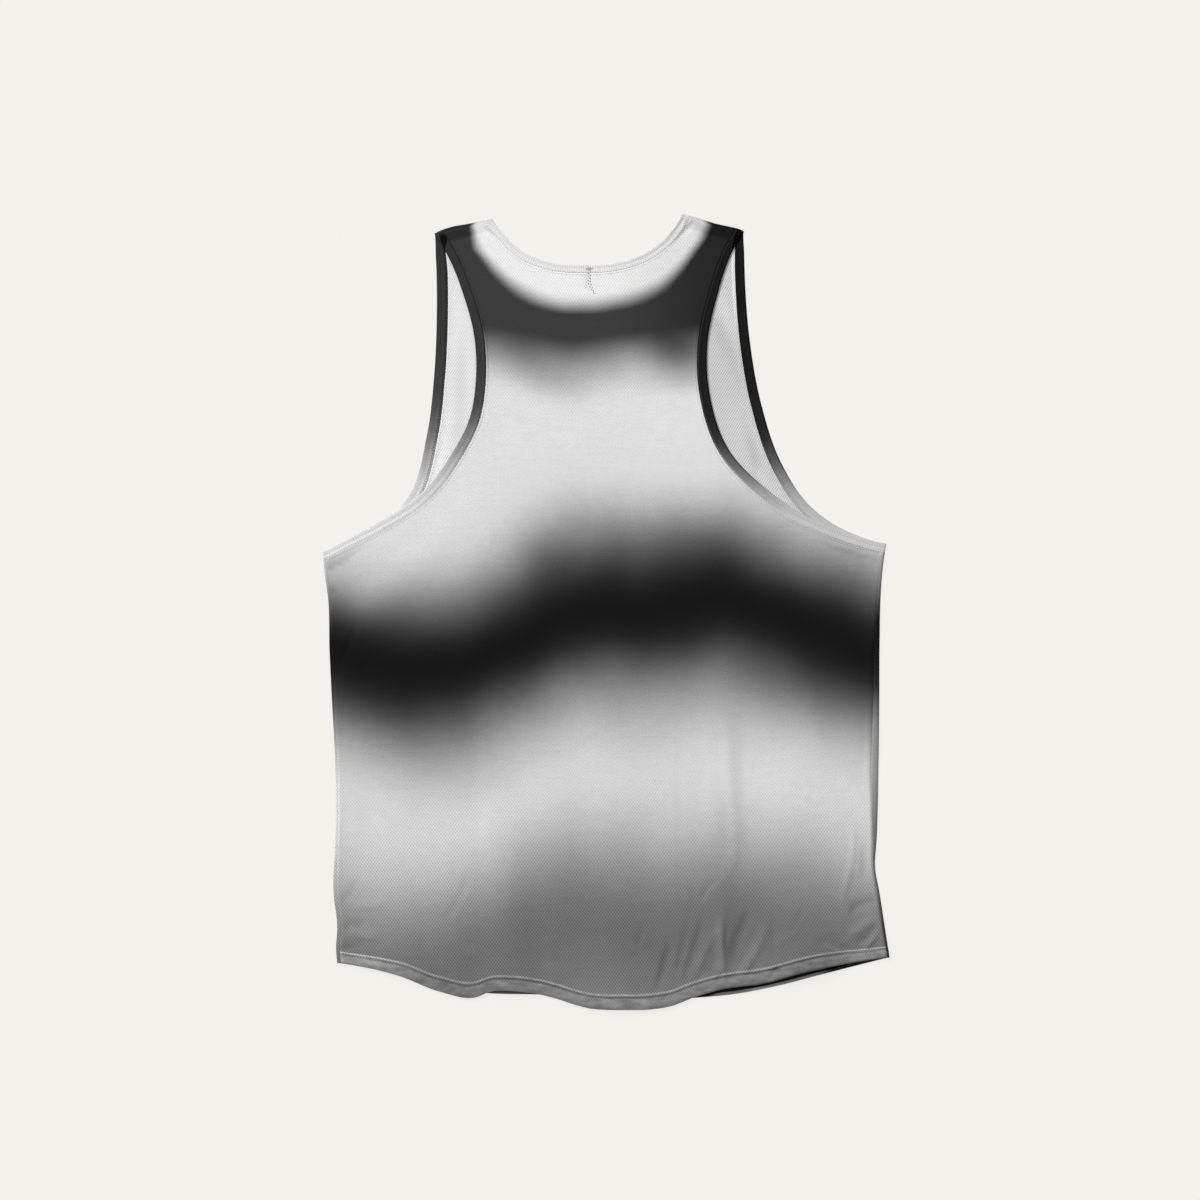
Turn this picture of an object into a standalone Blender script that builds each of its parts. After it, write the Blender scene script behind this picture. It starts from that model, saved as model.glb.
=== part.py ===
"""A running singlet laid flat on its front, back side up.

Five pieces, as a maker cuts and sews them: a front and a back panel with turned hems, a neck
binding and two armhole bindings. Each piece is drawn as its outside face, an open sheet, and a
Solidify modifier gives the cloth its thickness on the inner side. The tables are in millimetres:
+X is the wearer's right, +Y runs from the hem to the neck, and z = 0 is what the front lies on.
"""

import math

import bmesh
import bpy
import numpy as np

MM = 0.001

# Walls and seams.
CLOTH = 1.0
HEM_WALL = 1.5
BAND_WALL = 1.4
SEAM_GAP = 0.3
HEM_DEPTH = 13.5
HEM_STEP = 2.0

# Where the front turns over to the back: the outside radius of the fold, which grows at the hem.
FOLD_RADIUS = 1.5
HEM_FOLD_RADIUS = 1.9
HEM_RISE = 40.0
BAND_FOLD_RADIUS = 1.575
SHOULDER_TURN = 1.8

# Bindings: their length along the seam that they cross, and how far a mitre reaches from it.
NECK_BAND = 7.0
NECK_BAND_AT_SHOULDER = 7.4
ARM_BAND_AT_SIDE = 8.6
ARM_BAND_AT_SHOULDER = 8.2
MITRE = 22.0

# Grid sizes. Rows: hem band, its step, up the side, round the armhole, past the neck. Columns run
# from the centre to the side. Neighbouring pieces share the rows, so their gap stays even.
ROWS = (2, 1, 20, 16, 9)
BACK_COLUMNS = 16
FRONT_COLUMNS = 10
FOLD_STEPS = 6

# How far the outline's own curve reaches into a panel's rows, and how flat a panel's edges stay.
HEM_REACH = 110.0
SHOULDER_REACH = 40.0
EDGE_CALM = 26.0
NECK_CALM = 90.0

# How finely smooth outlines are read: points for each span, and along a whole side or shoulder.
SPAN_POINTS = 14
SIDE_POINTS = 160
SHOULDER_POINTS = 30

LEFT, RIGHT = -1, 1

# Centre line of both panels, and where the row that starts at the underarms crosses it.
CENTRE_X = -13.5
UNDERARM_ROW_Y = 46.0

# Where the row that ends at the bottom of the neck starts on the armhole.
ARM_ROW_Y = {"back": 232.0, "front": 196.0}

# Side outlines from the hem up to the underarm: x, y.
SIDE = {
    LEFT: ((-241.7, -316.6), (-242.9, -303.0), (-241.8, -284.9), (-245.3, -252.0), (-243.5, -205.7),
           (-243.2, -151.7), (-247.1, -70.7), (-248.8, -34.6), (-249.9, 10.3), (-253.6, 38.0),
           (-255.2, 54.5)),
    RIGHT: ((255.2, -311.2), (252.0, -291.2), (245.7, -250.7), (242.1, -230.8), (243.5, -205.7),
            (245.2, -138.2), (245.9, -79.7), (246.2, -25.7), (247.4, 19.4), (249.1, 40.0),
            (252.3, 60.9)),
}

# Width of the front panel that shows on the back, between outline and side seam: y, width.
SIDE_TURN = {
    LEFT: ((-320.0, 3.6), (-250.0, 3.4), (-200.0, 2.0), (60.0, 1.7)),
    RIGHT: ((-312.0, 2.1), (-262.0, 2.5), (-231.0, 1.7), (-200.0, 4.2), (-182.0, 5.4), (-143.0, 6.6),
            (-112.0, 6.2), (-44.0, 4.5), (-8.0, 3.8), (20.0, 2.8), (60.0, 1.7)),
}

# Shoulder outlines from the neck to the tip: x, y.
SHOULDER = {
    LEFT: ((-102.6, 354.2), (-112.0, 351.9), (-123.8, 348.9), (-137.0, 346.6), (-146.7, 343.7),
           (-154.6, 339.9)),
    RIGHT: ((68.4, 358.4), (84.6, 353.6), (98.1, 349.2), (111.6, 346.2), (120.6, 343.8),
            (124.4, 341.8)),
}

# Outer edge of the armhole from the underarm up to the shoulder tip: x, y.
ARMHOLE_BACK = {
    LEFT: ((-255.2, 54.5), (-232.4, 65.8), (-203.4, 81.5), (-166.7, 106.1), (-140.4, 139.1),
           (-122.6, 174.2), (-117.0, 210.0), (-118.4, 246.4), (-128.9, 286.9), (-142.0, 319.4),
           (-154.6, 339.9)),
    RIGHT: ((252.3, 60.9), (230.8, 66.2), (203.2, 76.4), (175.7, 88.3), (148.1, 107.2),
            (109.4, 147.2), (93.3, 194.8), (91.2, 241.2), (100.2, 284.9), (113.9, 324.4),
            (124.4, 341.8)),
}
ARMHOLE_FRONT = {
    LEFT: ((-255.2, 54.5), (-236.0, 62.0), (-215.0, 72.0), (-196.0, 83.5), (-177.3, 104.9),
           (-161.1, 158.9), (-154.6, 212.9), (-152.4, 260.0), (-152.8, 311.9), (-154.6, 339.9)),
    RIGHT: ((252.3, 60.9), (225.0, 68.9), (206.1, 77.9), (182.7, 95.9), (158.6, 131.9),
            (139.9, 185.9), (129.9, 239.9), (125.0, 300.0), (124.4, 341.8)),
}

# Width of the armhole binding: share of the way from underarm to shoulder, on the back, in front
# on the left, in front on the right.
ARM_BAND = ((0.0, 7.8, 7.8, 7.8), (0.12, 9.0, 9.0, 9.0), (0.25, 9.6, 9.8, 9.6),
            (0.6, 9.2, 9.8, 9.2), (0.9, 7.8, 10.0, 8.8), (1.0, 7.8, 8.2, 8.2))

# Outer edge of the neck, from the left shoulder to the right: x, y.
NECK_BACK = ((-102.6, 354.2), (-94.4, 342.8), (-74.4, 323.8), (-48.6, 314.0), (-20.0, 311.8),
             (9.9, 314.0), (36.0, 322.8), (56.7, 339.4), (68.4, 358.4))
NECK_FRONT = ((-102.6, 354.2), (-103.6, 330.0), (-95.6, 296.0), (-66.0, 263.0), (-18.0, 250.0),
              (30.0, 264.0), (60.0, 298.0), (68.6, 332.0), (68.4, 358.4))

# Hem edges from the centre line outwards: x, y. The side outline gives the last point.
HEM_BACK = {
    LEFT: ((-13.5, -357.3), (-43.8, -348.6), (-61.2, -344.2), (-80.5, -341.6), (-104.6, -342.2),
           (-117.4, -347.2), (-149.4, -342.1), (-185.7, -328.0), (-217.3, -319.9)),
    RIGHT: ((-13.5, -357.3), (14.0, -358.4), (39.6, -358.0), (58.0, -355.2), (79.6, -347.0),
            (101.6, -340.7), (142.9, -334.4), (177.3, -324.8), (211.8, -317.7)),
}
HEM_FRONT = {
    LEFT: ((-13.5, -347.6), (-62.1, -344.6), (-105.3, -343.5), (-149.4, -337.9), (-195.0, -325.0)),
    RIGHT: ((-13.5, -347.6), (39.6, -349.6), (79.6, -347.6), (115.4, -344.2), (156.7, -336.3),
            (191.2, -327.3)),
}

# The back's largest folds, each a soft ridge along a line from its foot to its head:
# foot x, foot y, head x, head y, half-width at foot and head, height at foot and head.
FOLDS = (
    (182.0, -350.0, 158.0, -40.0, 68.0, 34.0, 9.2, 0.0),
    (-84.0, -375.0, -98.0, -110.0, 34.0, 22.0, 4.0, 0.0),
    (14.0, -390.0, 4.0, -60.0, 50.0, 34.0, 3.6, 0.0),
    (-196.0, -360.0, -186.0, -120.0, 42.0, 26.0, 1.8, 0.0),
    (98.0, -290.0, 104.0, -40.0, 24.0, 20.0, 2.4, 0.0),
    (222.0, -225.0, 150.0, 20.0, 26.0, 22.0, 1.9, 0.6),
    (-222.0, -10.0, -120.0, 96.0, 26.0, 20.0, 1.4, 0.4),
)

# Colours of the cloth in linear light.
PANEL_GREY = (0.30, 0.30, 0.30, 1.0)
INSIDE_WHITE = (0.72, 0.72, 0.71, 1.0)
NECK_WHITE = (0.78, 0.78, 0.77, 1.0)
BAND_BLACK = (0.03, 0.03, 0.03, 1.0)


def ease(share):
    """A smooth step from 0 to 1 as the share does."""
    share = np.clip(share, 0.0, 1.0)
    return share * share * (3.0 - 2.0 * share)


def unit(vectors):
    return vectors / np.linalg.norm(vectors, axis=-1, keepdims=True)


def smooth(points):
    """Points of a smooth curve through the given ones, with tangents weighted by the spacing."""
    points = np.array(points, float)
    gaps = np.linalg.norm(np.diff(points, axis=0), axis=1)
    slopes = np.diff(points, axis=0) / gaps[:, None]
    middle = (slopes[1:] * gaps[:-1, None] + slopes[:-1] * gaps[1:, None])
    middle /= (gaps[1:] + gaps[:-1])[:, None]
    tangents = np.vstack([2 * slopes[:1] - middle[:1], middle, 2 * slopes[-1:] - middle[-1:]])
    curve = [points[:1]]
    for k, gap in enumerate(gaps):
        t = np.linspace(0.0, 1.0, SPAN_POINTS + 1)[1:, None]
        curve.append(points[k] * (2 * t**3 - 3 * t**2 + 1) + points[k + 1] * (3 * t**2 - 2 * t**3)
                     + gap * (tangents[k] * (t**3 - 2 * t**2 + t) + tangents[k + 1] * (t**3 - t**2)))
    return np.vstack(curve)


class Edge:
    """A line in plan, read by the distance along it. Its hand is the side that out() points to."""

    def __init__(self, points, hand=1.0):
        self.points = np.array(points, float)
        self.marks = np.concatenate(
            [[0.0], np.cumsum(np.linalg.norm(np.diff(self.points, axis=0), axis=1))])
        self.length = self.marks[-1]
        self.hand = hand

    def at(self, distance):
        x = np.interp(distance, self.marks, self.points[:, 0])
        y = np.interp(distance, self.marks, self.points[:, 1])
        return np.stack([x, y], axis=-1)

    def out(self, distance, reach=2.0):
        heading = unit(self.at(np.minimum(distance + reach, self.length))
                       - self.at(np.maximum(distance - reach, 0.0)))
        return self.hand * np.stack([heading[..., 1], -heading[..., 0]], axis=-1)

    def inset(self, distance, depth):
        """The point at a distance, moved in from the edge."""
        return self.at(distance) - self.out(distance) * np.reshape(depth, (-1, 1))

    def nearest_to(self, x, y):
        """The distance along the line of its point nearest to (x, y)."""
        return self.marks[np.argmin(np.hypot(self.points[:, 0] - x, self.points[:, 1] - y))]


def steps(marks, counts):
    """Values that divide each stretch between marks into its count of equal steps."""
    values = [np.linspace(a, b, n + 1)[1:] for a, b, n in zip(marks, marks[1:], counts)]
    return np.concatenate([[marks[0]], *values])


def side_radius(distance):
    """Outside radius of the side fold at a distance up from the hem."""
    return FOLD_RADIUS + (HEM_FOLD_RADIUS - FOLD_RADIUS) * ease(1.0 - distance / HEM_RISE)


def wall_at(distance):
    """Thickness of a panel at a distance up from the hem's edge."""
    return np.where(distance < HEM_DEPTH + 0.5 * HEM_STEP, HEM_WALL, CLOTH)


def fold_height(x, y):
    """How far the folds lift the back panel at a point."""
    height = np.zeros_like(x)
    for foot_x, foot_y, head_x, head_y, foot_half, head_half, foot_high, head_high in FOLDS:
        along = np.array([head_x - foot_x, head_y - foot_y])
        length = np.hypot(*along)
        along /= length
        travel = ((x - foot_x) * along[0] + (y - foot_y) * along[1]) / length
        across = abs((x - foot_x) * along[1] - (y - foot_y) * along[0])
        share = np.clip(travel, 0.0, 1.0)
        half = foot_half + (head_half - foot_half) * share
        high = foot_high + (head_high - foot_high) * share
        ends = ease(1.0 - (abs(travel - share) * length) / half)
        height += high * ends * np.cos(0.5 * math.pi * np.clip(across / half, 0.0, 1.0)) ** 2
    return height


def offset_line(edge, widths, start, end):
    """The line at the given widths inside an edge, mitred so that it starts and ends where told.

    The edge is travelled with the cloth on the side away from out().
    """
    distance = edge.marks
    lean = -edge.out(distance)
    start_lean = unit(start - edge.points[0])
    end_lean = unit(end - edge.points[-1])
    from_start = ease(distance / MITRE)[:, None]
    from_end = ease((edge.length - distance) / MITRE)[:, None]
    way = unit(lean * from_start * from_end + start_lean * (1 - from_start) + end_lean * (1 - from_end))
    depth = np.interp(distance / edge.length, *widths) / np.sum(way * lean, axis=1)
    line = edge.points + way * depth[:, None]
    line += (start - line[0]) * (1 - from_start) + (end - line[-1]) * (1 - from_end)
    return line


def turned(edge, distance, radius, angle):
    """A point of the rounded fold along an edge: angle 0 is on top, pi is underneath."""
    plan = edge.inset(distance, radius - radius * np.sin(angle))
    return np.append(plan.reshape(2), radius + radius * math.cos(angle))


class Binding:
    """One closed ring of binding: a strip on the back, a fold, a strip in front and a fold."""

    def __init__(self, back, front, first, last, widths_back, widths_front):
        """first and last are the folds that it crosses: edge, distance of its outer and inner side."""
        self.folds = (first, last)
        self.outer = {"back": self.between_folds(back), "front": self.between_folds(front)}
        self.widths = {"back": widths_back, "front": widths_front}

    def fold_point(self, fold, side):
        """Where a fold begins in plan, on its outer or its inner side."""
        edge, outer, inner = self.folds[fold]
        return edge.inset(outer if side == "outer" else inner, BAND_FOLD_RADIUS).reshape(2)

    def between_folds(self, edge):
        """The edge with its ends drawn in to where the folds begin."""
        first, last = self.fold_point(0, "outer"), self.fold_point(1, "outer")
        near_first = 1 - ease(edge.marks / MITRE)[:, None]
        near_last = 1 - ease((edge.length - edge.marks) / MITRE)[:, None]
        line = edge.points + (first - edge.points[0]) * near_first + (last - edge.points[-1]) * near_last
        return Edge(line, edge.hand)

    def inner_line(self, layer, gap=0.0, ends=None):
        """The binding's inner side in plan, or the panel's edge when a gap is left beside it."""
        shares, widths = self.widths[layer]
        ends = ends or [self.fold_point(fold, "inner") for fold in (0, 1)]
        return offset_line(self.outer[layer], (shares, widths + gap), *ends)

    def strip(self, layer, places, height):
        """Rows of (outer, inner) points at the given places, counted in points of the edge."""
        rows = []
        for line in (self.outer[layer].points, self.inner_line(layer)):
            plan = [np.interp(places, np.arange(len(line)), line[:, axis]) for axis in (0, 1)]
            rows.append(np.column_stack([*plan, np.full(len(places), height)]))
        return np.stack(rows, axis=1)

    def turn(self, fold, angles):
        edge, outer, inner = self.folds[fold]
        return np.array([[turned(edge, distance, BAND_FOLD_RADIUS, angle)
                          for distance in (outer, inner)] for angle in angles])

    def ring(self, back_places, front_places):
        """Rows of (outer, inner) points all the way round; the last row meets the first."""
        down = np.linspace(0.0, math.pi, FOLD_STEPS + 1)[1:]
        back = self.strip("back", back_places, 2 * BAND_FOLD_RADIUS)
        front = self.strip("front", front_places, 0.0)[::-1]
        return np.concatenate([back, self.turn(1, down), front[1:], self.turn(0, down[::-1])[1:],
                               back[:1]])


class Pattern:
    """The garment's outlines, and the edges that its panels and bindings share."""

    def __init__(self):
        self.side = {hand: Edge(smooth(SIDE[hand]), hand) for hand in (LEFT, RIGHT)}
        self.shoulder = {hand: Edge(smooth(SHOULDER[hand]), -hand) for hand in (LEFT, RIGHT)}
        self.arm_binding = {hand: self.make_arm_binding(hand) for hand in (LEFT, RIGHT)}
        folds = [(self.shoulder[hand], 0.0, NECK_BAND_AT_SHOULDER) for hand in (LEFT, RIGHT)]
        widths = (np.array([0.0, 1.0]), np.array([NECK_BAND, NECK_BAND]))
        self.neck_binding = Binding(Edge(smooth(NECK_BACK), -1.0), Edge(smooth(NECK_FRONT), -1.0),
                                    *folds, widths, widths)
        self.back = {hand: self.back_half(hand) for hand in (LEFT, RIGHT)}
        self.front = {hand: HalfPanel(self, "front", hand, HEM_FRONT[hand], side_radius, FOLD_RADIUS,
                                      ARM_ROW_Y["front"]) for hand in (LEFT, RIGHT)}

    def back_half(self, hand):
        """The back ends at its seams, which lie beside the part of the front that turns over."""
        def seam_depth(distance):
            return self.side_turn(hand, distance) + SEAM_GAP
        return HalfPanel(self, "back", hand, HEM_BACK[hand], seam_depth, SHOULDER_TURN + SEAM_GAP,
                         ARM_ROW_Y["back"])

    def make_arm_binding(self, hand):
        side, shoulder = self.side[hand], self.shoulder[hand]
        share, back, *fronts = np.array(ARM_BAND).T
        front = dict(zip((LEFT, RIGHT), fronts))[hand]
        folds = [(side, side.length, side.length - ARM_BAND_AT_SIDE),
                 (shoulder, shoulder.length, shoulder.length - ARM_BAND_AT_SHOULDER)]
        return Binding(Edge(smooth(ARMHOLE_BACK[hand]), hand), Edge(smooth(ARMHOLE_FRONT[hand]), hand),
                       *folds, (share, back), (share, front))

    def side_end(self, hand):
        """Distance up the side where the panels end, just below the binding."""
        return self.side[hand].length - ARM_BAND_AT_SIDE - SEAM_GAP

    def shoulder_ends(self, hand):
        """Distances along the shoulder between which the panels lie."""
        far = self.shoulder[hand].length - ARM_BAND_AT_SHOULDER - SEAM_GAP
        return NECK_BAND_AT_SHOULDER + SEAM_GAP, far

    def side_turn(self, hand, distance):
        """Width of the front that shows beside the seam, at a distance up the side."""
        y, width = np.array(SIDE_TURN[hand]).T
        return np.interp(self.side[hand].at(distance)[..., 1], y, width)


def half_of_neck(neck, hand):
    """The neck line from the centre line to one hand's shoulder, and its places in the whole."""
    crossing = int(np.argmax(neck[:, 0] > CENTRE_X))
    share = (CENTRE_X - neck[crossing - 1, 0]) / (neck[crossing, 0] - neck[crossing - 1, 0])
    low = neck[crossing - 1] * (1 - share) + neck[crossing] * share
    beyond = np.arange(crossing, len(neck)) if hand == RIGHT else np.arange(crossing - 1, -1, -1)
    return np.vstack([low, neck[beyond]]), np.concatenate([[crossing - 1 + share], beyond])


class HalfPanel:
    """One half of a panel, ruled from its centre and neck to its side and armhole.

    The side and the shoulder lie inside the outline by side_depth(distance) and shoulder_depth.
    """

    def __init__(self, pattern, layer, hand, hem_points, side_depth, shoulder_depth, arm_row_y):
        side, shoulder = pattern.side[hand], pattern.shoulder[hand]
        near, far = pattern.shoulder_ends(hand)
        at_side = np.linspace(0.0, pattern.side_end(hand), SIDE_POINTS)
        side_line = side.inset(at_side, side_depth(at_side))
        at_shoulder = np.linspace(near, far, SHOULDER_POINTS)
        self.top = Edge(shoulder.inset(at_shoulder, shoulder_depth))
        neck_ends = [pattern.shoulder[h].inset(pattern.shoulder_ends(h)[0], shoulder_depth).reshape(2)
                     for h in (LEFT, RIGHT)]
        whole_neck = pattern.neck_binding.inner_line(layer, SEAM_GAP, neck_ends)
        neck, neck_places = half_of_neck(whole_neck, hand)
        armhole_ends = [side_line[-1], self.top.points[-1]]
        armhole = pattern.arm_binding[hand].inner_line(layer, SEAM_GAP, armhole_ends)
        self.inner = Edge(np.vstack([[CENTRE_X, hem_points[0][1]], neck]))
        self.outer = Edge(np.vstack([side_line, armhole[1:]]))
        self.hem = Edge(smooth([*hem_points, tuple(side_line[0])]))
        side_length = Edge(side_line).length
        self.neck_low = neck_low = neck[0][1] - hem_points[0][1]
        arm_mark = self.outer.nearest_to(*armhole[np.argmin(abs(armhole[:, 1] - arm_row_y))])
        underarm = UNDERARM_ROW_Y - hem_points[0][1]
        hem_marks = (0.0, HEM_DEPTH, HEM_DEPTH + HEM_STEP)
        self.at_inner = steps((*hem_marks, underarm, neck_low, self.inner.length), ROWS)
        self.at_outer = steps((*hem_marks, side_length, arm_mark, self.outer.length), ROWS)

        # The rows that end on a binding, as places along that binding's edge.
        arm_rows, neck_rows = self.at_outer[sum(ROWS[:3]):], self.at_inner[sum(ROWS[:4]):]
        self.arm_places = np.interp(arm_rows - side_length, Edge(armhole).marks, np.arange(len(armhole)))
        self.neck_places = np.interp(neck_rows - neck_low, Edge(neck).marks, neck_places)

    def plan(self, columns):
        """Points of the half panel in plan, row by row from the hem, and how free each is to lift."""
        at_inner, at_outer = self.at_inner, self.at_outer
        share = np.linspace(0.0, 1.0, columns + 1)[None, :, None]
        inner, outer = self.inner.at(at_inner)[:, None], self.outer.at(at_outer)[:, None]
        points = inner * (1 - share) + outer * share
        hem = self.hem.at(share[0, :, 0] * self.hem.length)
        top = self.top.at(share[0, :, 0] * self.top.length)
        hem_hold = ease(1.0 - at_outer / HEM_REACH)[:, None, None]
        top_hold = ease(1.0 - (self.outer.length - at_outer) / SHOULDER_REACH)[:, None, None]
        points = points + (hem - points[0]) * hem_hold + (top - points[-1]) * top_hold
        span = np.linalg.norm(outer - inner, axis=2)
        calm = ease((1 - share[..., 0]) * span / EDGE_CALM)
        calm = calm * ease((self.neck_low - at_inner) / NECK_CALM)[:, None]
        return points, calm


def add_grid(mesh, points, walls):
    """Adds a sheet of quads whose corners are the rows of points, with the wall that each one gets."""
    rows, columns = points.shape[0] - 1, points.shape[1] - 1
    weights = mesh.verts.layers.deform.verify()
    made = bmesh.ops.create_grid(mesh, x_segments=columns, y_segments=rows, size=1.0)["verts"]
    for vert in made:
        column = round((vert.co.x + 1.0) / 2.0 * columns)
        row = round((vert.co.y + 1.0) / 2.0 * rows)
        vert.co = points[row, column] * MM
        vert[weights][0] = walls[row] / HEM_WALL


def material(name, colour, roughness):
    made = bpy.data.materials.new(name)
    made.use_nodes = True
    shader = made.node_tree.nodes["Principled BSDF"]
    shader.inputs["Base Color"].default_value = colour
    shader.inputs["Roughness"].default_value = roughness
    shader.inputs["Metallic"].default_value = 0.0
    return made


def piece(name, mesh, finish, collection):
    """Joins a piece's sheets, turns its outside face out and gives the cloth its thickness.

    The highest face of each piece belongs to the garment's back, so its outside looks up.
    """
    bmesh.ops.remove_doubles(mesh, verts=mesh.verts, dist=0.01 * MM)
    bmesh.ops.recalc_face_normals(mesh, faces=mesh.faces)
    highest = max(mesh.faces, key=lambda face: face.calc_center_median().z)
    if highest.normal.z < 0:
        bmesh.ops.reverse_faces(mesh, faces=mesh.faces)
    data = bpy.data.meshes.new(name)
    mesh.to_mesh(data)
    mesh.free()
    data.shade_smooth()
    data.materials.append(finish)
    made = bpy.data.objects.new(name, data)
    made.vertex_groups.new(name="wall")
    cloth = made.modifiers.new("cloth", "SOLIDIFY")
    cloth.thickness = HEM_WALL * MM
    cloth.offset = -1.0
    cloth.vertex_group = "wall"
    collection.objects.link(made)
    return made


def make_back(pattern, finish, collection):
    mesh = bmesh.new()
    for hand in (LEFT, RIGHT):
        half = pattern.back[hand]
        plan, calm = half.plan(BACK_COLUMNS)
        lift = fold_height(plan[..., 0], plan[..., 1]) * calm
        height = 2.0 * side_radius(half.at_outer)[:, None] + lift
        add_grid(mesh, np.dstack([plan, height]), wall_at(half.at_outer))
    return piece("back_panel", mesh, finish, collection)


def make_front(pattern, finish, collection):
    mesh = bmesh.new()
    angles = np.linspace(math.pi, 0.0, FOLD_STEPS + 1)
    for hand in (LEFT, RIGHT):
        distance = pattern.front[hand].at_outer
        plan, _ = pattern.front[hand].plan(FRONT_COLUMNS)
        add_grid(mesh, np.dstack([plan, np.zeros(plan.shape[:2])]), wall_at(distance))

        # The side turns up and over to its seam on the back.
        side = pattern.side[hand]
        side_rows = sum(ROWS[:3]) + 1
        to_side = np.linspace(0.0, pattern.side_end(hand), SIDE_POINTS)
        half_side = Edge(side.inset(to_side, side_radius(to_side)))
        up_side = np.interp(distance[:side_rows], half_side.marks, to_side)
        turn = [[turned(side, d, r, angle) for angle in angles]
                + [np.append(side.inset(d, pattern.side_turn(hand, d)).reshape(2), 2.0 * r)]
                for d, r in zip(up_side, side_radius(up_side))]
        add_grid(mesh, np.array(turn), wall_at(distance[:side_rows]))

        # So does the shoulder.
        shoulder = pattern.shoulder[hand]
        near, far = pattern.shoulder_ends(hand)
        to_shoulder = np.linspace(near, far, SHOULDER_POINTS)
        half_shoulder = Edge(shoulder.inset(to_shoulder, FOLD_RADIUS))
        across = np.interp(np.linspace(0.0, half_shoulder.length, FRONT_COLUMNS + 1),
                           half_shoulder.marks, to_shoulder)
        turn = [[turned(shoulder, d, FOLD_RADIUS, angle) for angle in angles]
                + [np.append(shoulder.inset(d, SHOULDER_TURN).reshape(2), 2.0 * FOLD_RADIUS)]
                for d in across]
        add_grid(mesh, np.array(turn), np.full(len(across), CLOTH))
    return piece("front_panel", mesh, finish, collection)


def make_binding(name, binding, back_places, front_places, finish, collection):
    mesh = bmesh.new()
    ring = binding.ring(back_places, front_places)
    add_grid(mesh, ring, np.full(len(ring), BAND_WALL))
    return piece(name, mesh, finish, collection)


def main():
    for old in list(bpy.data.objects):
        bpy.data.objects.remove(old, do_unlink=True)
    collection = bpy.data.collections.new("running_singlet")
    bpy.context.scene.collection.children.link(collection)
    pattern = Pattern()
    make_front(pattern, material("front_knit", INSIDE_WHITE, 0.75), collection)
    make_back(pattern, material("back_knit", PANEL_GREY, 0.75), collection)
    neck_places = [np.concatenate([panel[LEFT].neck_places[:0:-1], panel[RIGHT].neck_places])
                   for panel in (pattern.back, pattern.front)]
    make_binding("neck_binding", pattern.neck_binding, *neck_places,
                 material("neck_tape", NECK_WHITE, 0.7), collection)
    band = material("armhole_tape", BAND_BLACK, 0.7)
    for side_name, hand in (("left", LEFT), ("right", RIGHT)):
        make_binding(f"armhole_binding_{side_name}", pattern.arm_binding[hand],
                     pattern.back[hand].arm_places, pattern.front[hand].arm_places, band, collection)


main()
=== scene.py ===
"""A running singlet laid flat on its front, back side up: its cloth, trims and sewing.

The garment's outlines, seams and large folds are those of its solids. Here each piece becomes a
thin shell with its creases, hems and stitching. Tables and plan distances are in millimetres, and
every point is turned into metres when its mesh is made. +X is the wearer's right, +Y runs from the
hem to the neck, and z = 0 is what the front lies on.
"""

import math

import bmesh
import bpy
import numpy as np
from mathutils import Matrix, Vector
from mathutils.bvhtree import BVHTree

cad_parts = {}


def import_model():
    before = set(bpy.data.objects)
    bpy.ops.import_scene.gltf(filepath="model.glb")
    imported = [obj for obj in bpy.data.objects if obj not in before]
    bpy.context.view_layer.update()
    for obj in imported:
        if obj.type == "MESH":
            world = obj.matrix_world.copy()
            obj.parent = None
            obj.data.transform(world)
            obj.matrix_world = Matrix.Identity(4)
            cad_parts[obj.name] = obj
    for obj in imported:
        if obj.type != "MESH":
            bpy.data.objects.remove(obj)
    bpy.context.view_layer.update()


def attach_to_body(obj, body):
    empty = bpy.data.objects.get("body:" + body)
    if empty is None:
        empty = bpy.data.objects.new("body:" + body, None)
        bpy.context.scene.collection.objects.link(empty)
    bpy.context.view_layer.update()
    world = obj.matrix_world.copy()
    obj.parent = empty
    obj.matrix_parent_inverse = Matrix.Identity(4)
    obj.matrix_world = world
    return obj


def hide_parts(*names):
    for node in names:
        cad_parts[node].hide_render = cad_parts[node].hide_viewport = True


MM = 0.001

# Cloth, walls and folds of the edges, as in the solids.
CLOTH = 0.8
HEM_WALL = 1.5
BAND_WALL = 1.4
FOLD_RADIUS = 1.5
HEM_FOLD_RADIUS = 1.9
HEM_RISE = 40.0
BAND_FOLD_RADIUS = 1.575
SHOULDER_TURN = 1.8

# The turned side beyond its fold: share of the way to the seam, how far it dips there. The turned
# shoulder dips at its seam alone.
SIDE_TURN_DIPS = ((0.5, 0.0), (0.8, -0.05), (1.0, 0.1))
SHOULDER_TURN_DIP = 0.05

# The panels run in under the bindings by this much.
UNDERLAP = 1.3

# Hem: its depth, its depth at the side seams and over what width it narrows to that.
HEM_DEPTH = 13.0
HEM_DEPTH_AT_SEAM = 9.6
HEM_NARROWS = 70.0
NEEDLE_LINE_UP = 10.4
RIDGE_UP = 12.4

# Bindings: their length along the seam that they cross, and how far a mitre reaches from it.
NECK_BAND = 7.0
NECK_BAND_AT_SHOULDER = 7.4
ARM_BAND_AT_SIDE = 8.6
ARM_BAND_AT_SHOULDER = 8.2
MITRE = 22.0

# Grids. Rows run up from the hem: its edge, its band, its needle line, up the side, round the
# armhole, close under the neck, past the neck, and close under the shoulder seam. The needle line
# lies within the first rows.
HEM_MARKS = (0.0, 2.0, 9.5, 17.0)
HEM_ROWS = 12
NECK_MARGIN = 12.0
TOP_MARGIN = 5.0
BACK_ROWS = (2, 4, 10, 86, 40, 8, 17, 5)
FRONT_ROWS = (2, 3, 7, 50, 24, 6, 12, 4)

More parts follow.
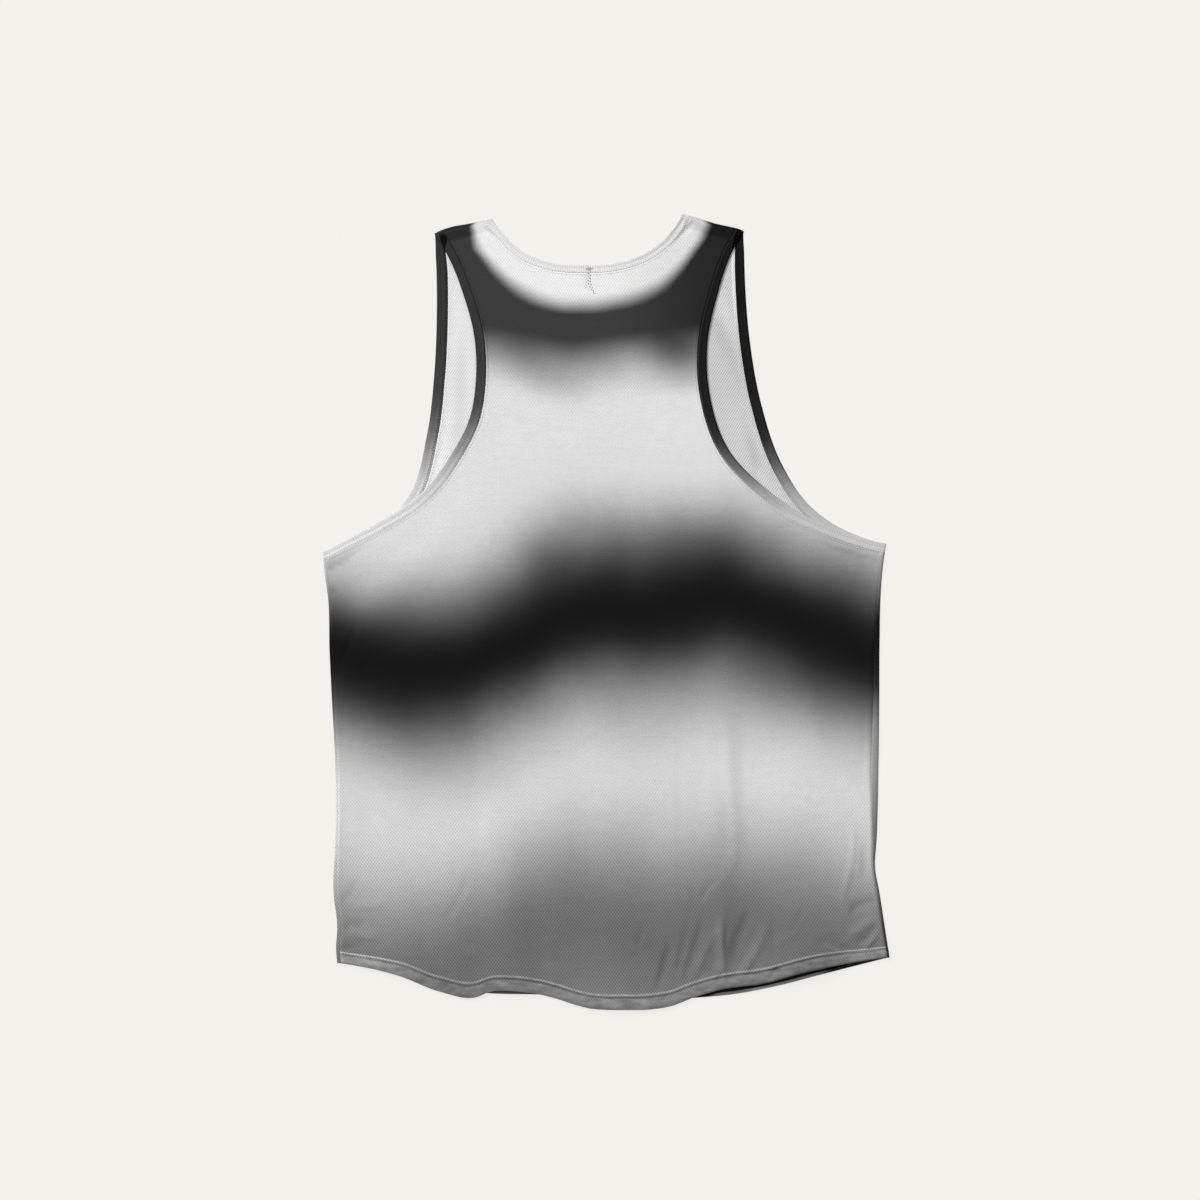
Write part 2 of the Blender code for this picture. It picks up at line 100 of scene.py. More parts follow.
# Columns run from the centre to the side: even ones, then these distances from the side's edge.
BACK_COLUMNS = 134
FRONT_COLUMNS = 50
EDGE_COLUMNS = (6.0, 4.4, 3.1, 2.2, 1.4, 0.7, 0.0)

# Where the points round a fold lie: angle 0 is on top, pi is underneath.
FOLD_ANGLES = np.linspace(0.0, math.pi, 11)

# Points closer together than this are joined. A surface is looked for from this height.
WELD = 0.01
ABOVE = 50.0

# How far the outline's own curve reaches into a panel's rows, and how flat a panel's edges stay.
HEM_REACH = 110.0
SHOULDER_REACH = 40.0
EDGE_CALM = 26.0
NECK_CALM = 90.0

# How finely smooth outlines are read: points for each span, and along a whole side or shoulder.
SPAN_POINTS = 14
SIDE_POINTS = 160
SHOULDER_POINTS = 30

LEFT, RIGHT = -1, 1
SIDE_NAMES = {LEFT: "left", RIGHT: "right"}

# Rows of stitches: from one stitch to the next, a stitch's length, its thread's radius. Each is sunk
# into the cloth by a share of its height.
HEM_STITCH = (2.7, 2.0, 0.24)
BINDING_STITCH = (2.6, 1.6, 0.30)
PANEL_STITCH = (2.5, 1.7, 0.24)
SEAM_STITCH = (2.6, 1.6, 0.2)
SUNK = 0.35

# Where the needle goes through: share of a binding's width, distance beside it, distance beside the
# side seam, and how far below the binding the side seam's row ends. So many points at each end of a
# row beside a binding are left out, because they lie under the folds.
NEEDLE_SHARES = {"back": 0.95, "front": 0.80}
BESIDE_BINDING = 1.6
BESIDE_SEAM = 0.9
BELOW_BINDING = 4.0
UNDER_FOLD = 3

# The bar tack's bars: where each starts, x of its end, how far up it runs, its radius. The line of
# the loose chain below it, and the distance between its loops.
KNOT = ((-18.2, 307.8, -11.6, 0.2, 0.34), (-18.2, 308.5, -11.6, 0.2, 0.34),
        (-16.6, 306.8, -13.6, 0.3, 0.3), (-16.6, 309.4, -13.6, 0.3, 0.3))
TAIL = ((-15.1, 306.5), (-15.2, 302.0), (-15.2, 297.5), (-14.6, 294.5), (-12.6, 290.0),
        (-10.6, 286.5), (-9.6, 285.0))
LOOP_PITCH = 1.5

# Centre line of both panels, and where the row that starts at the underarms crosses it.
CENTRE_X = -13.5
UNDERARM_ROW_Y = 46.0

# Where the row that ends at the bottom of the neck starts on the armhole.
ARM_ROW_Y = {"back": 232.0, "front": 196.0}

# Side outlines from the hem up to the underarm: x, y.
SIDE = {
    LEFT: ((-241.7, -316.6), (-242.9, -303.0), (-241.8, -284.9), (-245.3, -252.0), (-243.5, -205.7),
           (-243.2, -151.7), (-247.1, -70.7), (-248.8, -34.6), (-249.9, 10.3), (-253.6, 38.0),
           (-255.2, 54.5)),
    RIGHT: ((255.2, -311.2), (252.0, -291.2), (245.7, -250.7), (242.1, -230.8), (243.5, -205.7),
            (245.2, -138.2), (245.9, -79.7), (246.2, -25.7), (247.4, 19.4), (249.1, 40.0),
            (252.3, 60.9)),
}

# Width of the front panel that shows on the back, between outline and side seam: y, width.
SIDE_TURN = {
    LEFT: ((-320.0, 3.6), (-250.0, 3.4), (-200.0, 2.0), (60.0, 1.7)),
    RIGHT: ((-312.0, 2.1), (-262.0, 2.5), (-231.0, 1.7), (-200.0, 4.2), (-182.0, 5.4), (-143.0, 6.6),
            (-112.0, 6.2), (-44.0, 4.5), (-8.0, 3.8), (20.0, 2.8), (60.0, 1.7)),
}

# Shoulder outlines from the neck to the tip: x, y.
SHOULDER = {
    LEFT: ((-102.6, 354.2), (-112.0, 351.9), (-123.8, 348.9), (-137.0, 346.6), (-146.7, 343.7),
           (-154.6, 339.9)),
    RIGHT: ((68.4, 358.4), (84.6, 353.6), (98.1, 349.2), (111.6, 346.2), (120.6, 343.8),
            (124.4, 341.8)),
}

# Outer edge of the armhole from the underarm up to the shoulder tip: x, y.
ARMHOLE_BACK = {
    LEFT: ((-255.2, 54.5), (-232.4, 65.8), (-203.4, 81.5), (-166.7, 106.1), (-140.4, 139.1),
           (-122.6, 174.2), (-117.0, 210.0), (-118.4, 246.4), (-128.9, 286.9), (-142.0, 319.4),
           (-154.6, 339.9)),
    RIGHT: ((252.3, 60.9), (230.8, 66.2), (203.2, 76.4), (175.7, 88.3), (148.1, 107.2),
            (109.4, 147.2), (93.3, 194.8), (91.2, 241.2), (100.2, 284.9), (113.9, 324.4),
            (124.4, 341.8)),
}
ARMHOLE_FRONT = {
    LEFT: ((-255.2, 54.5), (-236.0, 62.0), (-215.0, 72.0), (-196.0, 83.5), (-177.3, 104.9),
           (-161.1, 158.9), (-154.6, 212.9), (-152.4, 260.0), (-152.8, 311.9), (-154.6, 339.9)),
    RIGHT: ((252.3, 60.9), (225.0, 68.9), (206.1, 77.9), (182.7, 95.9), (158.6, 131.9),
            (139.9, 185.9), (129.9, 239.9), (125.0, 300.0), (124.4, 341.8)),
}

# Width of the armhole binding: share of the way from underarm to shoulder, on the back, in front
# on the left, in front on the right.
ARM_BAND = ((0.0, 7.8, 7.8, 7.8), (0.12, 9.0, 9.0, 9.0), (0.25, 9.6, 9.8, 9.6),
            (0.6, 9.2, 9.8, 9.2), (0.9, 7.8, 10.0, 8.8), (1.0, 7.8, 8.2, 8.2))

# Outer edge of the neck, from the left shoulder to the right: x, y.
NECK_BACK = ((-102.6, 354.2), (-94.4, 342.8), (-74.4, 323.8), (-48.6, 314.0), (-20.0, 311.8),
             (9.9, 314.0), (36.0, 322.8), (56.7, 339.4), (68.4, 358.4))
NECK_FRONT = ((-102.6, 354.2), (-103.6, 330.0), (-95.6, 296.0), (-66.0, 263.0), (-18.0, 250.0),
              (30.0, 264.0), (60.0, 298.0), (68.6, 332.0), (68.4, 358.4))

# Hem edges from the centre line outwards: x, y. The side outline gives the last point.
HEM_BACK = {
    LEFT: ((-13.5, -357.3), (-26.0, -354.4), (-43.8, -348.6), (-61.2, -344.2), (-80.5, -341.6),
           (-104.6, -342.2), (-117.4, -347.2), (-149.4, -342.1), (-185.7, -328.0), (-217.3, -319.9)),
    RIGHT: ((-13.5, -357.3), (-2.0, -358.2), (14.0, -358.4), (39.6, -358.0), (58.0, -355.2),
            (79.6, -347.0), (101.6, -340.7), (142.9, -334.4), (177.3, -324.8), (211.8, -317.7)),
}
HEM_FRONT = {
    LEFT: ((-13.5, -347.6), (-62.1, -344.6), (-105.3, -343.5), (-149.4, -337.9), (-195.0, -325.0)),
    RIGHT: ((-13.5, -347.6), (39.6, -349.6), (79.6, -347.6), (115.4, -344.2), (156.7, -336.3),
            (191.2, -327.3)),
}

# The back's largest folds, each a soft ridge along a line from its foot to its head:
# foot x, foot y, head x, head y, half-width at foot and head, height at foot and head.
FOLDS = (
    (182.0, -350.0, 158.0, -40.0, 68.0, 34.0, 9.2, 0.0),
    (-84.0, -375.0, -98.0, -110.0, 34.0, 22.0, 4.0, 0.0),
    (14.0, -390.0, 4.0, -60.0, 50.0, 34.0, 3.6, 0.0),
    (-196.0, -360.0, -186.0, -120.0, 42.0, 26.0, 1.8, 0.0),
    (98.0, -290.0, 104.0, -40.0, 24.0, 20.0, 2.4, 0.0),
    (222.0, -225.0, 150.0, 20.0, 26.0, 22.0, 1.9, 0.6),
    (-222.0, -10.0, -120.0, 96.0, 26.0, 20.0, 1.4, 0.4),
)

# The back's creases, ridges above zero and troughs below: half-width on the left of the line as it
# runs, half-width on the right, height, and the line's own points.
BACK_CREASES = (
    # Faint lines down the panel on both sides of the middle.
    (7.0, 9.0, 0.25, ((-109, -40), (-108, -150), (-106, -230), (-98, -285))),
    (8.0, 6.0, -0.25, ((65, -80), (66, -180), (67, -260), (70, -300))),
    # The big lift on the right, its crest and the hollow beside it.
    (8.0, 9.0, 0.7, ((104, -76), (110, -150), (114, -217), (100, -246), (86, -262))),
    (10.0, 12.0, -0.7, ((121, -90), (121, -150), (124, -200), (128, -250))),
    (10.0, 14.0, 0.5, ((166, -26), (180, -58), (196, -127), (215, -152), (234, -197), (238, -215))),
    (6.0, 4.0, 0.7, ((235, 6), (236, -30), (236, -80), (235, -130), (234, -178))),
    # Gathers that run up from the hem on the right, from the middle outwards.
    (2.6, 7.5, -2.25, ((43, -342), (47, -332), (50, -320), (54, -306), (58, -296))),
    (2.5, 4.5, -1.05, ((25, -304), (28, -297), (31, -289), (35, -280))),
    (3.0, 4.0, -0.75, ((20, -312), (28, -305), (37, -302), (47, -300))),
    (3.0, 3.0, 0.75, ((20, -307), (27, -302), (36, -299))),
    (2.4, 3.0, 1.2, ((60, -313), (65, -310), (69, -309))),
    (3.0, 6.0, -2.1, ((69, -338), (72, -320), (78, -304), (83, -288), (86, -270))),
    (5.0, 5.0, -1.5, ((64, -330), (66, -312), (70, -296), (72, -278))),
    (7.0, 5.0, 1.65, ((81, -330), (86, -312), (93, -298), (101, -284))),
    (3.0, 3.6, -1.95, ((80, -334), (87, -325), (94, -319), (101, -315))),
    (10.0, 4.5, 3.0, ((104, -336), (105, -318), (104, -300), (104, -284), (106, -268))),
    (4.0, 8.0, -2.55, ((110, -336), (111, -322), (113, -306), (117, -292), (124, -276), (130, -262))),
    (8.0, 6.0, 2.7, ((119, -334), (127, -318), (135, -304), (141, -290), (146, -276))),
    (2.2, 2.6, -0.9, ((150, -322), (149, -304), (149, -286), (150, -262))),
    (4.0, 4.0, 1.05, ((146, -300), (155, -296), (164, -290), (174, -284))),
    (3.0, 3.0, -1.05, ((160, -290), (168, -283), (173, -275), (177, -264))),
    # The sharp curled crease above the big fold.
    (2.2, 4.0, -1.65, ((82, -266), (86, -256), (92, -247), (100, -240), (109, -233), (118, -222))),
    (3.0, 3.0, 1.2, ((84, -268), (89, -256), (96, -246), (104, -239), (113, -230), (121, -216))),
    # Lower right corner, drawn in by the side seam.
    (3.0, 6.0, -2.4, ((219, -276), (222, -267), (228, -262), (237, -259), (248, -261))),
    (7.0, 5.0, 2.25, ((215, -293), (226, -287), (235, -281), (246, -275))),
    (2.6, 4.0, -3.3, ((225, -300), (231, -294), (236, -289), (243, -281))),
    (4.0, 4.0, 2.4, ((230, -305), (237, -299), (241, -293), (246, -286))),
    (4.0, 6.0, 1.05, ((221, -188), (221, -224), (216, -246), (210, -270))),
    (5.0, 5.0, -0.9, ((231, -206), (232, -226), (231, -246))),
    (3.0, 3.5, -1.35, ((184, -300), (198, -296), (210, -301), (224, -302))),
    (3.0, 3.0, 1.2, ((196, -300), (205, -304), (214, -308))),
    (3.0, 3.0, -0.9, ((200, -286), (207, -293), (212, -298))),
    # Nicks where the cloth caught.
    (2.0, 2.2, 0.8, ((176, -163), (181, -165), (187, -166), (195, -164))),
    (2.0, 2.2, 0.6, ((136, -196), (141, -197), (147, -197))),
    # Left side: creases that lean away from the side seam.
    (5.0, 3.0, -1.1, ((-222, -4), (-228, -18), (-234, -33), (-241, -50))),
    (4.0, 5.0, 0.8, ((-216, -36), (-221, -45), (-230, -55), (-242, -60))),
    (3.0, 3.5, -2.1, ((-241, -264), (-235, -258), (-230, -252), (-223, -245))),
    (5.0, 6.0, 1.1, ((-234, -264), (-220, -263), (-206, -262), (-192, -256))),
    (4.0, 4.0, -2.1, ((-246, -287), (-236, -284), (-226, -281), (-214, -281))),
    (5.0, 5.0, 1.4, ((-240, -289), (-226, -289), (-212, -291), (-198, -291))),
    (4.0, 3.5, -1.4, ((-246, -304), (-236, -303), (-226, -301), (-212, -299))),
    (4.0, 4.0, 0.4, ((-213, -182), (-204, -196), (-194, -212))),
    # The curved line that runs down towards the hem on the left.
    (2.6, 6.0, -0.8, ((-150, -279), (-142, -271), (-135, -261), (-129, -249), (-124, -234))),
    (4.0, 4.0, 0.6, ((-142, -284), (-133, -270), (-126, -256), (-121, -240))),
    (2.0, 2.4, 1.1, ((-130, -303), (-124, -306), (-119, -307), (-114, -303))),
    # Small flecks above the middle of the hem.
    (1.8, 2.0, 0.7, ((-96, -267), (-90, -265), (-84, -266))),
    (1.8, 2.2, 0.6, ((-50, -261), (-46, -264), (-41, -266))),
    (1.8, 2.2, 0.9, ((-60, -320), (-52, -321.5), (-44, -323.5), (-40, -325))),
    (1.6, 2.4, 1.1, ((-40, -318), (-34, -320.5), (-29, -322.5), (-26, -325))),
    (3.0, 3.0, 0.5, ((-58, -297), (-48, -295), (-38, -299))),
    # A short hook beside the left armhole.
    (2.5, 3.0, 0.7, ((-110, 76), (-106, 68), (-106, 58), (-110, 50))),
    # A faint line down the middle of the shoulders.
    (4.0, 5.0, 0.3, ((-10, 95), (-12, 62), (-22, 26), (-28, 5))),
)

# Hollows under the bindings at the underarms, and the nick in the left side: the same columns.
UNDERARM_CREASES = (
    (10.0, 2.4, -1.15, ((-300, 27), (-253, 38), (-243, 41), (-235, 45.5), (-226, 52), (-214, 60))),
    (6.0, 3.0, -0.8, ((186, 66), (202, 58), (214, 54), (228, 50), (242, 46.5), (266, 42))),
    (2.2, 2.2, -0.9, ((-266, 20), (-251, 19.5), (-246, 19), (-239, 18))),
)

# Puckers across the back's turned hem: the same columns.
HEM_CREASES = (
    (2.0, 4.5, -2.0, ((90, -341), (96, -335), (101, -329), (105, -324))),
    (2.0, 5.0, -2.2, ((104, -340), (108, -334), (112, -328), (116, -322))),
    (2.2, 4.5, -1.6, ((144, -332), (148, -327), (152, -322), (156, -316))),
    (2.0, 3.0, -0.6, ((236, -312), (240, -307), (243, -303), (246, -300))),
    (2.0, 4.0, -0.8, ((-208, -324), (-211, -317), (-213, -311), (-213, -306))),
    (2.0, 3.5, -0.6, ((-186, -328), (-187, -322), (-186, -316))),
    (2.4, 4.0, -0.7, ((-50, -345), (-46, -339), (-40, -333), (-34, -328))),
    (3.0, 4.0, 0.5, ((-66, -343), (-60, -338), (-54, -334))),
    (2.4, 4.0, -0.6, ((44, -356), (50, -349), (58, -343))),
    (2.4, 4.0, -0.6, ((-16, -356), (-14, -349), (-10, -343))),
)

# Puckers drawn in at the neck's two tips: the same columns.
NECK_CREASES = (
    (1.7, 1.8, -1.3, ((54, 335), (58, 339), (63, 345), (67.5, 351.5), (70, 357))),
    (1.8, 1.8, -1.5, ((57, 326), (61, 332), (66, 338), (70, 344), (72, 350), (73.5, 358))),
    (2.2, 2.2, -1.7, ((66, 337), (70, 342), (73.5, 346), (77, 350), (80, 353))),
    (2.6, 2.6, 0.5, ((70, 335), (74, 340), (79, 345), (83, 349))),
    (1.8, 2.0, 0.5, ((65, 341), (68, 347), (70.5, 353))),
    (6.0, 8.0, -0.7, ((74, 362), (82, 350), (90, 338), (94, 326))),
    (2.4, 2.6, -0.8, ((-99, 336), (-103, 341), (-107, 344), (-112, 347))),
    (2.4, 2.8, 0.5, ((-103, 335), (-108, 340), (-114, 344))),
    (6.0, 4.0, -0.5, ((-16.5, 318), (-17, 303), (-16.5, 294), (-13.5, 285))),
)

# Folds of the front that show through the armholes: the same columns.
FRONT_CREASES = (
    (9.0, 8.0, -2.2, ((88, 274), (96, 262), (110, 235), (124, 208), (134, 186))),
    (7.0, 9.0, 1.6, ((98, 290), (106, 272), (118, 250), (128, 226))),
    (7.0, 7.0, -1.8, ((124, 168), (129, 154), (133, 140), (137, 122))),
    (7.0, 7.0, 1.2, ((134, 132), (143, 118), (152, 108), (162, 98))),
    (10.0, 10.0, -1.5, ((-130, 262), (-131, 217), (-133, 163), (-140, 132))),
    (6.0, 6.0, 0.9, ((-142, 150), (-147, 136), (-153, 122), (-160, 110))),
)

# Tones, as shares of the light that the cloth gives back. The print's bands: height up the panel,
# tone. The armhole binding's fade: height up the panel, tone.
PRINT_BANDS = ((-390, 0.20), (-350, 0.17), (-315, 0.14), (-285, 0.15), (-252, 0.23), (-218, 0.40),
               (-178, 0.62), (-140, 0.64), (-108, 0.42), (-78, 0.14), (-52, 0.018), (-28, 0.006),
               (-4, 0.006), (16, 0.03), (38, 0.15), (64, 0.45), (95, 0.68), (150, 0.72), (400, 0.70))
FRONT_SIDE_BANDS = ((-340, 0.03), (-292, 0.03), (-276, 0.045), (-255, 0.10), (-205, 0.15),
                    (-180, 0.20), (-150, 0.30), (-108, 0.28), (-84, 0.11), (-66, 0.008),
                    (-10, 0.003), (6, 0.035), (26, 0.18), (48, 0.26), (400, 0.36))
ARMHOLE_FADE = ((40, 0.76), (80, 0.75), (108, 0.64), (132, 0.38), (160, 0.12), (188, 0.050),
                (260, 0.038), (380, 0.034))
FLOOR_TINT = (1.0, 0.991, 0.945)

YOKE_TONE = 0.042
NECK_TONE = 0.80
KNOT_TONE = 0.46
TAIL_TONE = 0.15
KNIT_TINT = (1.0, 1.0, 0.998)
PLAIN_TINT = (1.0, 1.0, 1.0)

# Depth of the knit's relief and of the ribs' and strokes', the ribs' pitch, and the cloth's fuzz.
KNIT_DEPTH = 0.14
RIB_DEPTH = 0.10
RIB_PITCH = 2.1
FUZZ = 0.012

# The mesh knit's holes: from one to the next across, and from one row to the next.
HOLES_ACROSS = 2.6
HOLES_UP = 1.85

# The slanting mesh inside: strokes for each millimetre across, and up in its two directions.
STROKES_ACROSS = 0.44
STROKES_UP = (0.256, 0.40)

# Lamps: name, strength, apparent size in degrees, and the direction that they stand in. The studio's
# own light, and the floor's tone, its glow and half its width in metres.
LAMPS = (("soft_key", 2.45, 22.0, (-0.60, 0.62, 0.84)), ("broad_top", 0.72, 80.0, (0.1, 0.75, 0.9)))
STUDIO_LIGHT = 0.33
FLOOR_TONE = 0.09
FLOOR_GLOW = 0.789
FLOOR_HALF = 4.0

# Camera: the place that it looks down on and the width that it sees, in metres, its lens and sensor
# in millimetres, and how many metres far it sees.
VIEW_X, VIEW_Y = -0.0054, 0.01035
VIEW_WIDTH = 1.08
LENS, SENSOR = 200.0, 36.0
FARTHEST = 50.0

# A crease fades out over this share of its length at each end.
CREASE_FADE = 0.3

# Fine hollows keep only part of their depth, and every hollow gathers some shade: for each
# millimetre, and how much more of it the fine ones gather.
FINE_DEPTH = 0.25
FINE_SHADE = 3.0
SHADE = 0.075

# The turned shoulder edge lies in as much shade as a hollow of this height. The same for the turned
# side, at its outer edge and at its seam.
SHOULDER_SHADE = -2.2
SIDE_SHADE = {LEFT: (0.0, 0.0), RIGHT: (-4.0, 2.6)}

# The lowest that folds and creases may draw the back down, at the hem and above it.
LOWEST_AT_HEM = -0.6
LOWEST = -1.1


def ease(share):
    """A smooth step from 0 to 1 as the share does."""
    share = np.clip(share, 0.0, 1.0)
    return share * share * (3.0 - 2.0 * share)


def hump(distance, half):
    """A smooth hump, 1 where the distance is 0 and 0 from the half-width on."""
    return np.cos(0.5 * math.pi * np.clip(abs(distance) / half, 0.0, 1.0)) ** 2


def unit(vectors):
    return vectors / np.linalg.norm(vectors, axis=-1, keepdims=True)


def smooth(points):
    """Points of a smooth curve through the given ones, with tangents weighted by the spacing."""
    points = np.array(points, float)
    gaps = np.linalg.norm(np.diff(points, axis=0), axis=1)
    slopes = np.diff(points, axis=0) / gaps[:, None]
    middle = (slopes[1:] * gaps[:-1, None] + slopes[:-1] * gaps[1:, None])
    middle /= (gaps[1:] + gaps[:-1])[:, None]
    tangents = np.vstack([2 * slopes[:1] - middle[:1], middle, 2 * slopes[-1:] - middle[-1:]])
    curve = [points[:1]]
    for k, gap in enumerate(gaps):
        t = np.linspace(0.0, 1.0, SPAN_POINTS + 1)[1:, None]
        curve.append(points[k] * (2 * t**3 - 3 * t**2 + 1) + points[k + 1] * (3 * t**2 - 2 * t**3)
                     + gap * (tangents[k] * (t**3 - 2 * t**2 + t) + tangents[k + 1] * (t**3 - t**2)))
    return np.vstack(curve)


class Edge:
    """A line read by the distance along it. In plan, its hand is the side that out() points to."""

    def __init__(self, points, hand=1.0):
        self.points = np.array(points, float)
        self.marks = np.concatenate(
            [[0.0], np.cumsum(np.linalg.norm(np.diff(self.points, axis=0), axis=1))])
        self.length = self.marks[-1]
        self.hand = hand

    def at(self, distance):
        return np.stack([np.interp(distance, self.marks, axis) for axis in self.points.T], axis=-1)

    def out(self, distance, reach=2.0):
        heading = unit(self.at(np.minimum(distance + reach, self.length))
                       - self.at(np.maximum(distance - reach, 0.0)))
        return self.hand * np.stack([heading[..., 1], -heading[..., 0]], axis=-1)

    def inset(self, distance, depth):
        """The point at a distance, moved in from the edge."""
        return self.at(distance) - self.out(distance) * np.reshape(depth, (-1, 1))

    def nearest_to(self, x, y):
        """The distance along the line of its point nearest to (x, y)."""
        return self.marks[np.argmin(np.hypot(self.points[:, 0] - x, self.points[:, 1] - y))]


def steps(marks, counts):
    """Values that divide each stretch between marks into its count of equal steps."""
    values = [np.linspace(a, b, n + 1)[1:] for a, b, n in zip(marks, marks[1:], counts)]
    return np.concatenate([[marks[0]], *values])


def side_radius(distance):
    """Outside radius of the side fold at a distance up from the hem."""
    return FOLD_RADIUS + (HEM_FOLD_RADIUS - FOLD_RADIUS) * ease(1.0 - distance / HEM_RISE)


def fold_height(x, y):
    """How far the folds lift the back panel at a point."""
    height = np.zeros_like(x)
    for foot_x, foot_y, head_x, head_y, foot_half, head_half, foot_high, head_high in FOLDS:
        along = np.array([head_x - foot_x, head_y - foot_y])
        length = np.hypot(*along)
        along /= length
        travel = ((x - foot_x) * along[0] + (y - foot_y) * along[1]) / length
        across = abs((x - foot_x) * along[1] - (y - foot_y) * along[0])
        share = np.clip(travel, 0.0, 1.0)
        half = foot_half + (head_half - foot_half) * share
        high = foot_high + (head_high - foot_high) * share
        ends = ease(1.0 - (abs(travel - share) * length) / half)
        height += high * ends * hump(across, half)
    return height


def nearest_on(line, x, y):
    """For each point: how far along a line its nearest place is, and how far right of it it lies."""
    best = np.full(x.shape, np.inf)
    along = np.zeros(x.shape)
    right = np.zeros(x.shape)
    for start, end, mark in zip(line.points, line.points[1:], line.marks):
        run = end - start
        length = np.hypot(*run)
        run = run / length
        travel = np.clip((x - start[0]) * run[0] + (y - start[1]) * run[1], 0.0, length)
        off_x, off_y = x - start[0] - travel * run[0], y - start[1] - travel * run[1]
        distance = np.hypot(off_x, off_y)
        closer = distance < best
        best = np.where(closer, distance, best)
        along = np.where(closer, mark + travel, along)
        right = np.where(closer, np.sign(off_x * run[1] - off_y * run[0]) * distance, right)
    return along, right


def crease_height(x, y, creases):
    """How far the creases lift the cloth at a point. Each fades out towards both its ends."""
    height = np.zeros_like(x)
    for left_half, right_half, high, points in creases:
        line = Edge(smooth(points))
        reach = max(left_half, right_half)
        low, top = line.points.min(axis=0) - reach, line.points.max(axis=0) + reach
        near = (x > low[0]) & (x < top[0]) & (y > low[1]) & (y < top[1])
        along, right = nearest_on(line, x[near], y[near])
        half = np.where(right > 0, right_half, left_half)
        share = along / line.length
        fade = ease(share / CREASE_FADE) * ease((1.0 - share) / CREASE_FADE)
        uneven = 0.85 + 0.15 * np.sin(along / 9.0 + points[0][0])
        height[near] += high * fade * uneven * hump(right, half)
    return height


def kept_above(height, lowest):
    """The height, drawn smoothly level where it would fall below the lowest one allowed."""
    blend = 0.25
    return lowest + blend * np.logaddexp(0.0, (height - lowest) / blend)


def ripples(x, y):
    """The faint unevenness of thin cloth that lies loose, in millimetres."""
    long_waves = np.sin(x / 21.0 + 0.9 * np.sin(y / 47.0)) * np.sin(y / 58.0 + 1.3)
    slant_waves = np.sin((x + 0.45 * y) / 13.0 + 1.1 * np.sin(y / 33.0)) * np.sin(y / 39.0 + x / 90.0)
    return 0.14 * long_waves + 0.07 * slant_waves


def offset_line(edge, widths, start, end):
    """The line at the given widths inside an edge, mitred so that it starts and ends where told.

    The edge is travelled with the cloth on the side away from out().
    """
    distance = edge.marks
    lean = -edge.out(distance)
    start_lean = unit(start - edge.points[0])
    end_lean = unit(end - edge.points[-1])
    from_start = ease(distance / MITRE)[:, None]
    from_end = ease((edge.length - distance) / MITRE)[:, None]
    way = unit(lean * from_start * from_end + start_lean * (1 - from_start) + end_lean * (1 - from_end))
    depth = np.interp(distance / edge.length, *widths) / np.sum(way * lean, axis=1)
    line = edge.points + way * depth[:, None]
    line += (start - line[0]) * (1 - from_start) + (end - line[-1]) * (1 - from_end)
    return line


def turned(edge, distance, radius, angle):
    """Points of the rounded fold along an edge, all at one angle round it."""
    distance = np.atleast_1d(distance)
    plan = edge.inset(distance, np.broadcast_to(radius - radius * np.sin(angle), distance.shape))
    height = np.broadcast_to(radius + radius * np.cos(angle), distance.shape)
    return np.column_stack([plan, height])


def band_relief(share):
    """Height of a binding's face across its width: crowned, a needle line, a ridge, a drawn edge."""
    crown = 0.24 * ease(share / 0.16) * (1.0 - ease((share - 0.16) / 0.5))
    needle_line = -0.12 * hump(share - 0.47, 0.08)
    ridge = 0.28 * hump(share - 0.74, 0.18)
    drawn = -0.34 * ease((share - 0.88) / 0.12)
    return crown + needle_line + ridge + drawn


def band_section():
    """A binding's section: how far across each point is, and on which face it is (1 out, -1 in)."""
    nose = 0.085
    across = np.array([nose, 0.12, 0.17, 0.24, 0.32, 0.40, 0.44, 0.47, 0.50, 0.54, 0.60, 0.66, 0.72,
                       0.78, 0.84, 0.89, 0.94, 1.0])
    angles = np.linspace(-0.5 * math.pi, 0.5 * math.pi, 9)[1:-1]
    shares = np.concatenate([across, across[::-1], nose * (1.0 - np.cos(angles)), across[:1]])
    faces = np.concatenate([np.ones(len(across)), -np.ones(len(across)), np.sin(angles), [1.0]])
    return shares, faces


